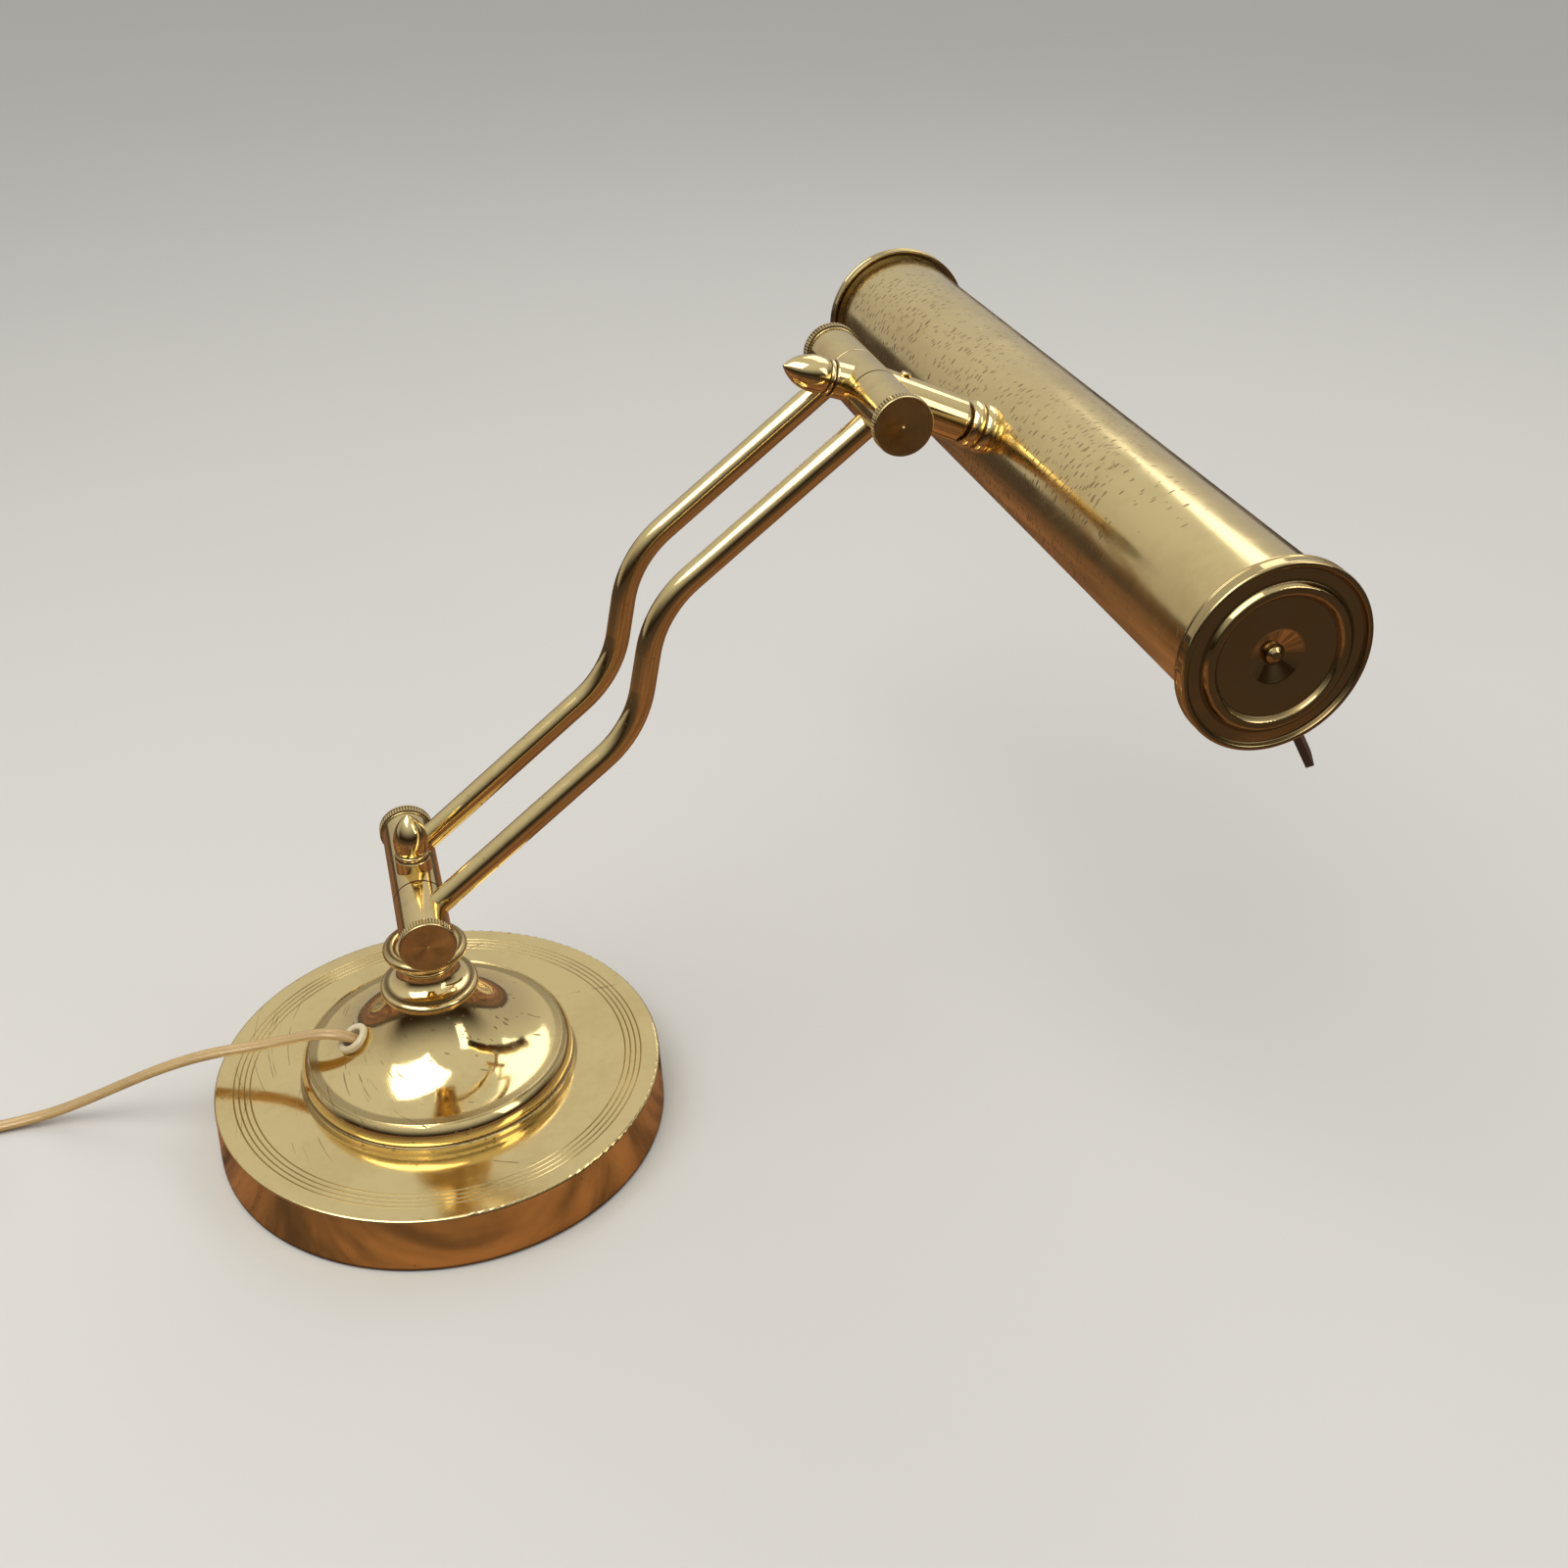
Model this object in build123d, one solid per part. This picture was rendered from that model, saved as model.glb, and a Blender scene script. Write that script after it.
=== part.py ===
from build123d import *

import math
import os

# Swing arm desk lamp in brass. Millimetres, +Z up, origin at the centre of the base's underside.
# The arms lean towards +X and every knuckle turns about an axis along Y.

# Driving dimensions: base
BASE_HEIGHT = 26.0
BASE_TOP_RADIUS = 93.0
BASE_FOOT_RADIUS = 94.1
SHEET = 1.2
GROOVE_RADII = (78.5, 80.8, 83.0, 85.2)
GROOVE_WIDTH = 0.7
GROOVE_DEPTH = 0.4
FELT_THICKNESS = 2.0
DISH_RADIUS = 57.0
DISH_RIM_HEIGHT = 12.0
DISH_WALL = 1.8
FLARE_RADIUS = 41.0
FLARE_START_RADIUS = 52.0
FLARE_START_ANGLE = 5.0
FLARE_END_ANGLE = 70.0
BUSHING_ANGLE = 33.3

# Driving dimensions: collar, knuckles and arms
NIPPLE_RADIUS = 4.85
RUNNING_GAP = 0.06
COLLAR_TOP = 80.8
KNUCKLE_HEIGHT = 117.5
KNUCKLE_RADIUS = 10.0
BLOCK_HALF = 11.7
WASHER_THICKNESS = 0.6
SLEEVE_END = 38.4
CAP_END = 43.4
CAP_RADIUS = 10.97
AXLE_RADIUS = 3.0
AXLE_HALF = 40.6
KNURL_TEETH = 56
ARM_SPREAD = 23.2
ARM_RADIUS = 4.75
ARM_WALL = 0.9
ARM_BEND_RADIUS = 46.5
ARM_LOWER_BEND = (87.5, 188.3)
ARM_UPPER_BEND = (96.75, 236.9)
UPPER_KNUCKLE = (183.1, 304.8)
FINIAL_TIP = 33.0
UPPER_FINIAL_TURN = -5.1

# Driving dimensions: head and shade
STEM_DROP_ANGLE = 23.9
STEM_RADIUS = 8.8
STEM_END = 40.5
SHADE_DISTANCE = 80.9
SHADE_RADIUS = 28.6
SHADE_WALL = 0.8
SHADE_HALF = 177.6
SHADE_CAP_RADIUS = 32.1
SHADE_OPENING_HALF_ANGLE = 62.0
SHADE_OPENING_TURN = 17.9
SOCKET_RADIUS = 17.5
BULB_RADIUS = 16.0
KEY_OFFSET = 161.0
KEY_ANGLE = 233.8
KEY_TIP = 58.5

# Driving dimensions: power cord
CORD_DIAMETER = 5.8
CORD_THICKNESS = 3.0
COIL_CENTRE = (-232.0, 0.0)
COIL_COLUMNS = (30.2, 36.0)
COIL_LAYERS = 4
TIE_THICKNESS = 0.9
PLUG_CENTRE_X = COIL_CENTRE[0] - COIL_COLUMNS[1]
PLUG_HALF_HEIGHT = 6.5

NEAR = -1
FAR = 1
SIDES = {"near": NEAR, "far": FAR}

os.makedirs("parts", exist_ok=True)


def write(name, solid):
    """Write one node's STEP file."""
    export_step(solid, f"parts/{name}.step")


def turned(*corners):
    """Solid turned about Z from (radius, height) or (radius, height, rounding) corners."""
    points = [corner[:2] for corner in corners]
    rounding = [corner[2] if len(corner) > 2 else 0 for corner in corners]
    outline = FilletPolyline(*points, radius=rounding, close=True)
    return revolve(Plane.XZ * make_face(outline), Axis.Z)


def turned_edges(*edges):
    """Solid turned about Z from a closed run of lines and arcs given as (radius, height)."""
    return revolve(Plane.XZ * make_face(Curve() + list(edges)), Axis.Z)


def ring(outer, inner, low, high):
    """Plain ring or tube about Z."""
    return turned((inner, low), (outer, low), (outer, high), (inner, high))


def rod(radius, low, high):
    """Plain rod about Z."""
    return Pos(0, 0, low) * Cylinder(radius, high - low, align=(Align.CENTER, Align.CENTER, Align.MIN))


def outward(side):
    """Turn a piece made along +Z so that it points out along Y on one side."""
    return Rot(-90 * side, 0, 0)


def cross_bar(radius, x=0.0, z=0.0, half=60.0):
    """Rod along Y through (x, z), used to cut saddles."""
    return Pos(x, 0, z) * Rot(90, 0, 0) * Cylinder(radius, 2 * half)


def hexagon_nut(across_flats, thickness, bore):
    """Hexagon nut about Z, standing on z = 0."""
    blank = extrude(RegularPolygon(across_flats / 2, 6, major_radius=False), thickness)
    return blank - rod(bore, -1, thickness + 1)


def tube_along(path, radius, wall=None):
    """Round tube, or solid rod if no wall is given, along a path of lines and tangent arcs."""
    section = Circle(radius)
    if wall:
        section -= Circle(radius - wall)
    return sweep(Plane(path @ 0, z_dir=path % 0) * section, path=path)


# ---------------------------------------------------------------- base


def flare_point(angle, offset=0.0):
    """Point (radius, height) of the dish's flare where its slope is the given angle."""
    start = math.radians(FLARE_START_ANGLE)
    slope = math.radians(angle)
    centre_radius = FLARE_START_RADIUS + FLARE_RADIUS * math.sin(start)
    centre_height = BASE_HEIGHT + DISH_RIM_HEIGHT + FLARE_RADIUS * math.cos(start)
    swing = FLARE_RADIUS + offset
    return (centre_radius - swing * math.sin(slope), centre_height - swing * math.cos(slope))


def make_base():
    felt = rod(BASE_FOOT_RADIUS - SHEET - 0.4, 0, FELT_THICKNESS)
    weight_top = BASE_HEIGHT - SHEET - 0.1
    weight = turned(
        (16.0, FELT_THICKNESS + 0.1),
        (90.0, FELT_THICKNESS + 0.1, 1.5),
        (90.0, weight_top, 1.5),
        (NIPPLE_RADIUS + 0.5, weight_top),
        (NIPPLE_RADIUS + 0.5, 10.3),
        (16.0, 10.3),
    )
    grooves = []
    for radius in sorted(GROOVE_RADII, reverse=True):
        grooves.append((radius + GROOVE_WIDTH / 2, BASE_HEIGHT))
        grooves.append((radius, BASE_HEIGHT - GROOVE_DEPTH))
        grooves.append((radius - GROOVE_WIDTH / 2, BASE_HEIGHT))
    shell = turned(
        (BASE_FOOT_RADIUS - SHEET, 0.8),
        (BASE_FOOT_RADIUS, 0.8, 0.4),
        (BASE_FOOT_RADIUS, 2.2, 0.4),
        (BASE_TOP_RADIUS, BASE_HEIGHT, 1.1),
        *grooves,
        (40.0, BASE_HEIGHT),
        (40.0, BASE_HEIGHT - SHEET),
        (BASE_TOP_RADIUS - SHEET, BASE_HEIGHT - SHEET),
    )
    write("felt_pad", felt)
    write("base_weight", weight)
    write("base_shell", shell)


def make_dish():
    rim = BASE_HEIGHT + DISH_RIM_HEIGHT
    outer = [flare_point(angle) for angle in (FLARE_START_ANGLE, 37.5, FLARE_END_ANGLE)]
    inner = [flare_point(angle, DISH_WALL) for angle in (FLARE_START_ANGLE, 37.5, FLARE_END_ANGLE)]
    top = outer[2][1]
    bore = NIPPLE_RADIUS + 0.4
    foot_inner = DISH_RADIUS - 2.4
    blank = turned_edges(
        Polyline((foot_inner, BASE_HEIGHT), (DISH_RADIUS, BASE_HEIGHT), (DISH_RADIUS, BASE_HEIGHT + 2.7)),
        ThreePointArc(
            (DISH_RADIUS, BASE_HEIGHT + 2.7),
            (DISH_RADIUS - 0.3, BASE_HEIGHT + 3.1),
            (DISH_RADIUS - 0.9, BASE_HEIGHT + 3.3),
        ),
        ThreePointArc(
            (DISH_RADIUS - 0.9, BASE_HEIGHT + 3.3),
            (DISH_RADIUS - 1.3, rim - 2.6),
            (FLARE_START_RADIUS + 1.2, rim + 0.5),
        ),
        Polyline((FLARE_START_RADIUS + 1.2, rim + 0.5), (FLARE_START_RADIUS + 0.6, rim - 0.1), outer[0]),
        ThreePointArc(*outer),
        Polyline(outer[2], (bore, top), (bore, top - DISH_WALL), (inner[2][0], top - DISH_WALL), inner[2]),
        ThreePointArc(*reversed(inner)),
        Polyline(inner[0], (foot_inner, rim - 3.0), (foot_inner, BASE_HEIGHT)),
    )
    radius, height = flare_point(BUSHING_ANGLE)
    seat = Pos(-radius, 0, height) * Rot(0, -BUSHING_ANGLE, 0)
    hole = seat * rod(6.2, -10, 10)
    bushing = turned(
        (4.2, -4.0, 0.8),
        (6.1, -4.0, 0.6),
        (6.1, 0.75),
        (7.2, 0.75, 0.3),
        (7.2, 3.1, 1.1),
        (4.2, 3.1, 1.0),
    )
    write("base_dish", blank - hole)
    write("cord_bushing", seat * bushing)
    return top


def make_collar(seat_height):
    bore = NIPPLE_RADIUS + RUNNING_GAP
    top = COLLAR_TOP
    collar = turned_edges(
        Polyline((bore, seat_height), (16.8, seat_height), (17.6, seat_height + 1.2)),
        ThreePointArc(
            (17.6, seat_height + 1.2),
            (20.0, seat_height + 3.3),
            (18.2, seat_height + 5.5),
        ),
        Polyline((18.2, seat_height + 5.5), (17.4, seat_height + 5.6), (17.2, seat_height + 6.0)),
        ThreePointArc((17.2, seat_height + 6.0), (12.4, seat_height + 8.5), (10.6, top - 2.7)),
        ThreePointArc((10.6, top - 2.7), (11.9, top - 1.35), (10.6, top)),
        Polyline((10.6, top), (bore, top), (bore, seat_height)),
    )
    write("base_collar", collar)


def make_turret():
    low = COLLAR_TOP + 0.1
    lip = low + 7.8
    neck = 7.8
    cup = turned_edges(
        Polyline((NIPPLE_RADIUS, low), (10.3, low), (10.3, low + 0.9)),
        ThreePointArc((10.3, low + 0.9), (11.6, low + 2.9), (15.0, low + 3.5)),
        ThreePointArc((15.0, low + 3.5), (17.0, low + 5.6), (15.2, lip)),
        Line((15.2, lip), (14.0, lip - 0.2)),
        ThreePointArc((14.0, lip - 0.2), (10.4, lip - 1.0), (neck, lip + 2.2)),
        Polyline(
            (neck, lip + 2.2), (neck, KNUCKLE_HEIGHT), (NIPPLE_RADIUS, KNUCKLE_HEIGHT), (NIPPLE_RADIUS, low)
        ),
    )
    cup -= cross_bar(KNUCKLE_RADIUS, z=KNUCKLE_HEIGHT)
    nipple = ring(NIPPLE_RADIUS, 3.3, 3.4, KNUCKLE_HEIGHT - 4.0)
    write("turret_cup", cup)
    write("turret_nipple", nipple)
    write("turret_nut", Pos(0, 0, 4.6) * hexagon_nut(14.0, 4.4, NIPPLE_RADIUS))
    write("spring_washer", ring(8.6, NIPPLE_RADIUS + 0.4, 9.15, 10.25))


# ---------------------------------------------------------------- knuckles


def finial():
    """Acorn nut on +Z of a knuckle, with its foot shaped to the knuckle's barrel."""
    body = turned_edges(
        Polyline((0, 7.0), (6.9, 7.0), (6.9, 13.6), (6.5, 14.2), (5.9, 14.3)),
        ThreePointArc((5.9, 14.3), (6.6, 15.3), (5.9, 16.3)),
        ThreePointArc((5.9, 16.3), (6.4, 17.4), (6.75, 19.6)),
        ThreePointArc((6.75, 19.6), (5.2, 27.2), (1.0, FINIAL_TIP - 0.5)),
        Polyline((1.0, FINIAL_TIP - 0.5), (0.5, FINIAL_TIP), (0, FINIAL_TIP), (0, 7.0)),
    )
    return body - cross_bar(KNUCKLE_RADIUS) + rod(1.9, 3.8, 14.0)


def knurled_band(radius, low, high):
    """Straight-knurled disc about Z."""
    points = []
    for tooth in range(KNURL_TEETH):
        for part, reach in ((0.0, 0.0), (0.3, 0.0), (0.65, 0.38)):
            angle = 2 * math.pi * (tooth + part) / KNURL_TEETH
            points.append(((radius - reach) * math.cos(angle), (radius - reach) * math.sin(angle)))
    return Pos(0, 0, low) * extrude(make_face(Polyline(*points, close=True)), high - low)


def knuckle_cap():
    """Knurled thumb nut with a spigot that runs inside the sleeve."""
    face = turned(
        (0, SLEEVE_END - 3.6),
        (7.52, SLEEVE_END - 3.6, 0.4),
        (7.52, SLEEVE_END + 0.05),
        (10.3, SLEEVE_END + 0.05, 0.3),
        (10.3, SLEEVE_END + 0.6),
        (10.3, CAP_END - 1.1),
        (10.9, CAP_END - 1.1),
        (10.9, CAP_END, 0.5),
        (9.9, CAP_END),
        (0.6, CAP_END - 0.45),
        (0, CAP_END - 0.8),
    )
    band = knurled_band(CAP_RADIUS, SLEEVE_END + 0.6, CAP_END - 1.1)
    return face + band - rod(AXLE_RADIUS + 0.03, 0, AXLE_HALF + 0.3)


def knuckle_sleeve(arm_angle):
    """Hollow barrel on +Z that one arm tube is brazed to, with the hole for the wire."""
    start = BLOCK_HALF + WASHER_THICKNESS
    barrel = turned(
        (AXLE_RADIUS + 0.05, start),
        (KNUCKLE_RADIUS, start, 0.25),
        (KNUCKLE_RADIUS, SLEEVE_END, 0.25),
        (7.6, SLEEVE_END),
        (7.6, start + 4.0),
        (AXLE_RADIUS + 0.05, start + 4.0),
    )
    return barrel, Rot(0, -arm_angle, 0) * Rot(0, 90, 0) * rod(2.6, 5, 15)


def make_knuckle(level, place, sleeve_place, arm_angle, finial_turn=0.0):
    """All the pieces of one knuckle. place turns +Z away from its stem, where the finial points."""
    cross = cross_bar(AXLE_RADIUS, half=BLOCK_HALF + 5)
    block = Rot(90, 0, 0) * Cylinder(KNUCKLE_RADIUS, 2 * BLOCK_HALF) - cross
    block -= rod(NIPPLE_RADIUS, -12, -3.9)
    block -= Rot(0, finial_turn, 0) * rod(1.9, 3.7, 12)
    write(f"{level}_knuckle_block", place * block)
    write(f"{level}_finial", place * Rot(0, finial_turn, 0) * finial())
    write(f"{level}_axle", place * Rot(90, 0, 0) * Cylinder(AXLE_RADIUS, 2 * AXLE_HALF))
    for name, side in SIDES.items():
        washer = ring(KNUCKLE_RADIUS - 0.5, AXLE_RADIUS, BLOCK_HALF, BLOCK_HALF + WASHER_THICKNESS - 0.05)
        write(f"{level}_washer_{name}", place * outward(side) * washer)
        write(f"{level}_cap_{name}", place * outward(side) * knuckle_cap())
        barrel, wire_hole = knuckle_sleeve(arm_angle)
        hole = Pos(0, side * ARM_SPREAD, 0) * wire_hole
        write(f"{level}_sleeve_{name}", sleeve_place * (outward(side) * barrel - hole))


def make_arms():
    foot = (0.0, KNUCKLE_HEIGHT)
    corners = [(x, z) for x, z in (foot, ARM_LOWER_BEND, ARM_UPPER_BEND, UPPER_KNUCKLE)]
    for name, side in SIDES.items():
        points = [(x, side * ARM_SPREAD, z) for x, z in corners]
        path = FilletPolyline(*points, radius=ARM_BEND_RADIUS)
        tube = tube_along(path, ARM_RADIUS, ARM_WALL)
        tube -= cross_bar(KNUCKLE_RADIUS, z=KNUCKLE_HEIGHT)
        tube -= cross_bar(KNUCKLE_RADIUS, *UPPER_KNUCKLE)
        write(f"arm_tube_{name}", tube)
    wire = tube_along(path, 1.5)
    wire -= cross_bar(KNUCKLE_RADIUS - 3.0, z=KNUCKLE_HEIGHT)
    wire -= cross_bar(KNUCKLE_RADIUS - 3.0, *UPPER_KNUCKLE)
    write("arm_wire", wire)


# ---------------------------------------------------------------- head and shade


def make_stem(head):
    """Barrel below the upper knuckle in the head's own frame, where -Z points at the shade."""
    bore = NIPPLE_RADIUS + RUNNING_GAP
    barrel = turned(
        (bore, -STEM_END),
        (STEM_RADIUS, -STEM_END, 0.9),
        (STEM_RADIUS, 0),
        (NIPPLE_RADIUS, 0),
        (NIPPLE_RADIUS, -22.0),
        (bore, -22.0),
    )
    barrel -= cross_bar(KNUCKLE_RADIUS)
    screw_seat = Pos(0, 0, -13.0) * Rot(0, 90, 0) * Rot(0, 0, 90)
    barrel -= screw_seat * rod(1.25, 4.5, 12)
    screw = turned((0, 5.1), (1.25, 5.1), (1.25, 8.85), (2.0, 8.85), (2.0, 9.9, 0.6), (0, 9.9))
    screw -= Pos(0, 0, 9.9) * Box(5, 0.6, 1.0)
    write("stem_barrel", head * barrel)
    write("stem_nipple", head * ring(NIPPLE_RADIUS, 3.3, -21.5, -4.1))
    write("stem_set_screw", head * screw_seat * screw)


def make_shade_neck(head):
    """Turned neck that carries the shade and swivels in the stem barrel."""
    neck = turned_edges(
        Polyline((NIPPLE_RADIUS, -40.6), (6.3, -40.6), (6.3, -42.4)),
        ThreePointArc((6.3, -42.4), (9.4, -45.4), (8.0, -48.2)),
        ThreePointArc((8.0, -48.2), (7.8, -48.5), (8.3, -48.8)),
        ThreePointArc((8.3, -48.8), (9.5, -51.0), (9.0, -53.2)),
        Polyline((9.0, -53.2), (9.0, -56.0), (NIPPLE_RADIUS, -56.0), (NIPPLE_RADIUS, -40.6)),
    )
    neck -= cross_bar(SHADE_RADIUS, z=-SHADE_DISTANCE)
    inside = SHADE_RADIUS - SHADE_WALL - SHADE_DISTANCE
    nut = Pos(0, 0, inside - 4.6) * hexagon_nut(14.0, 3.0, NIPPLE_RADIUS)
    write("shade_neck", head * neck)
    write("shade_nipple", head * ring(NIPPLE_RADIUS, 3.3, inside - 5.6, -26.0))
    write("shade_lock_nut", head * nut)


def shade_cap():
    """Spun end cap about Z: rolled rim, raised ring and a dimple in the middle."""
    t = SHADE_HALF
    wall = 0.8
    rim = SHADE_CAP_RADIUS
    return turned(
        (2.1, t - 3.0),
        (3.6, t - 3.0, 1.5),
        (9.4, t - 0.8, 2.4),
        (20.4, t - 0.6, 0.5),
        (21.7, t + 1.0, 0.9),
        (24.0, t + 1.0, 0.9),
        (25.2, t - 0.7, 0.5),
        (rim - 2.4, t - 0.9, 0.5),
        (rim - 1.7, t + 0.5, 0.4),
        (rim, t + 0.5, 0.9),
        (rim, t - 1.0, 0.5),
        (rim - 0.35, t - 1.4, 0.2),
        (rim - 0.35, t - 4.0, 0.2),
        (rim, t - 4.3, 0.2),
        (rim, t - 5.0, 0.3),
        (rim - 0.9, t - 5.0, 0.3),
        (rim - 0.9, t - 1.8),
        (SHADE_RADIUS + 1.2, t - 1.8),
        (SHADE_RADIUS + 1.2, t - 4.2),
        (SHADE_RADIUS + 0.05, t - 4.2),
        (SHADE_RADIUS + 0.05, t - 0.9 - wall),
        (9.4, t - 0.9 - wall),
        (3.6, t - 3.0 - wall),
        (2.1, t - 3.0 - wall),
    )


def cap_screw():
    """Plain domed screw in the middle of an end cap."""
    t = SHADE_HALF - 3.0
    return turned(
        (0, t - 5.0),
        (2.05, t - 5.0),
        (2.05, t),
        (2.9, t),
        (2.9, t + 0.9, 0.6),
        (1.6, t + 2.0, 1.0),
        (0, t + 2.2),
    )


def end_strap(hub_low):
    """Strap inside one end of the shade: threaded hub, leg to the wall and riveted foot."""
    face = SHADE_HALF - 3.0 - 0.8
    reach = SHADE_RADIUS - SHADE_WALL - 1.0
    strap = ring(6.0, 2.05, hub_low, face)
    leg = Pos(reach / 2, 0, face - 0.75) * Box(reach, 12.0, 1.5)
    foot = Pos(reach - 0.75, 0, face - 6.0) * Box(1.5, 12.0, 12.0)
    return strap + (leg + foot - rod(2.05, 0, face + 1))


def make_shade(head):
    """Shade about a line along Y; its wall is open below, a little round from -X of the head's frame."""
    middle = head * Pos(0, 0, -SHADE_DISTANCE)
    reach = 2 * SHADE_RADIUS
    edge = math.radians(180 - SHADE_OPENING_HALF_ANGLE)
    corner = (reach * math.cos(edge), reach * math.sin(edge))
    wedge = make_face(
        Polyline((0, 0), corner, (-reach * 1.5, reach), (-reach * 1.5, -reach), (corner[0], -corner[1]), close=True)
    )
    wall = Circle(SHADE_RADIUS) - Circle(SHADE_RADIUS - SHADE_WALL) - Rot(0, 0, SHADE_OPENING_TURN) * wedge
    tube = extrude(Plane.XZ * wall, SHADE_HALF - 1.8, both=True)
    tube -= rod(NIPPLE_RADIUS, 0, SHADE_RADIUS + 5)
    write("shade_tube", middle * tube)
    for name, side in SIDES.items():
        write(f"shade_cap_{name}", middle * outward(side) * shade_cap())
        write(f"cap_screw_{name}", middle * outward(side) * cap_screw())
    hub = SHADE_HALF - 8.4
    write("shade_strap_far", middle * outward(FAR) * end_strap(hub))
    write("shade_strap_near", middle * outward(NEAR) * end_strap(hub))
    make_lamp_holder(middle, hub)


def make_lamp_holder(middle, hub):
    """Socket, bulb, leads and switch key, made along +Z out to the near end."""
    place = middle * outward(NEAR)
    front = 128.0
    socket = turned(
        (0, hub),
        (14.0, hub, 2.0),
        (SOCKET_RADIUS, hub - 6.0, 1.5),
        (SOCKET_RADIUS, front, 0.8),
        (14.3, front, 0.5),
        (14.3, 158.5),
        (0, 158.5),
    )
    angle = KEY_ANGLE
    # In the turned frame +X stays +X and +Y is the head's +Z.
    key_place = place * Pos(0, 0, KEY_OFFSET) * Rot(0, 0, angle) * Rot(0, 90, 0)
    lead_hole = place * Pos(0, 0, 164.0) * Rot(0, 0, 90) * Rot(0, 90, 0) * rod(3.4, 12, 20)
    socket_body = place * socket - key_place * rod(2.3, 10, 30) - lead_hole
    liner = ring(14.2, 13.4, front + 2.0, 158.4)
    base = turned((0, 132.0), (12.6, 132.0, 0.4), (13.2, 133.5, 0.4), (13.2, 152.5, 0.8), (9.0, 156.0, 0.5),
                  (4.0, 156.3), (4.0, 158.0, 0.6), (0, 158.0))
    write("lamp_socket", socket_body)
    write("socket_liner", place * liner)
    write("bulb_base", place * base)
    make_bulb(place)
    key = rod(2.2, 10.5, KEY_TIP - 16.0)
    blade = Pos(0, 0, KEY_TIP - 9.0) * Box(8.6, 2.6, 18.0)
    blade = fillet(blade.edges().filter_by(Axis.Y), 2.4)
    write("switch_key", key_place * Rot(0, 0, 23) * (key + blade))
    leads = Part()
    run = SHADE_RADIUS - 9.4
    for offset in (-1.45, 1.45):
        points = [(offset, 0, -26.2), (offset, 0, -run), (offset, 150.0, -run), (offset, 164.0, -14.0)]
        path = FilletPolyline(*points, radius=3.2)
        leads += tube_along(path, 1.35)
    # The leads are drawn in the far-side frame and mirrored to the near end.
    write("socket_leads", middle * mirror(mirror(leads, Plane.XY), Plane.XZ))


def make_bulb(place):
    """Tubular bulb: hollow glass and the wires that hold its filament."""
    shoulder = 118.0
    tip = -146.0
    outer_neck = 12.5
    glass_wall = 0.7
    glass = turned(
        (0, 131.9),
        (outer_neck, 131.9),
        (outer_neck, 127.0, 3.0),
        (BULB_RADIUS, shoulder, 8.0),
        (BULB_RADIUS, tip, 15.0),
        (0, tip),
    )
    hollow = turned(
        (0, 131.2),
        (outer_neck - glass_wall, 131.2),
        (outer_neck - glass_wall, 127.0, 3.0),
        (BULB_RADIUS - glass_wall, shoulder, 8.0),
        (BULB_RADIUS - glass_wall, tip + glass_wall, 14.3),
        (0, tip + glass_wall),
    )
    stalk = turned((0, 131.1), (5.0, 131.1), (3.0, 122.0), (2.6, 112.0, 0.8), (0, 112.0))
    frame = stalk + rod(0.6, -128.0, 113.0)
    for height in (100.0, 24.0, -52.0, -126.0):
        frame += Pos(0, 0, height) * Rot(0, 90, 0) * rod(0.4, 0, 7.5)
    frame += Pos(7.2, 0, 0) * rod(0.5, -127.0, 101.0)
    write("bulb_glass", place * (glass - hollow))
    write("bulb_filament", place * frame)


# ---------------------------------------------------------------- power cord


def tangent_radii(points, share=0.45):
    """Largest bend at each corner that leaves room for its neighbours on both runs."""
    radii = []
    for before, corner, after in zip(points, points[1:], points[2:]):
        incoming = Vector(*corner) - Vector(*before)
        outgoing = Vector(*after) - Vector(*corner)
        turn = math.radians(incoming.get_angle(outgoing))
        radii.append(share * min(incoming.length, outgoing.length) / math.tan(turn / 2))
    return radii


def make_cord_run(name, points):
    """One free stretch of the cord, with its bends printed and its volume compared."""
    radii = tangent_radii(points)
    path = FilletPolyline(*points, radius=radii)
    tube = tube_along(path, CORD_DIAMETER / 2)
    length = path.length
    expected = math.pi * (CORD_DIAMETER / 2) ** 2 * length
    print(name, "length", round(length, 1), "radii", [round(r) for r in radii],
          "volume share", round(tube.volume / expected, 4))
    write(name, tube)
    return length


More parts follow.
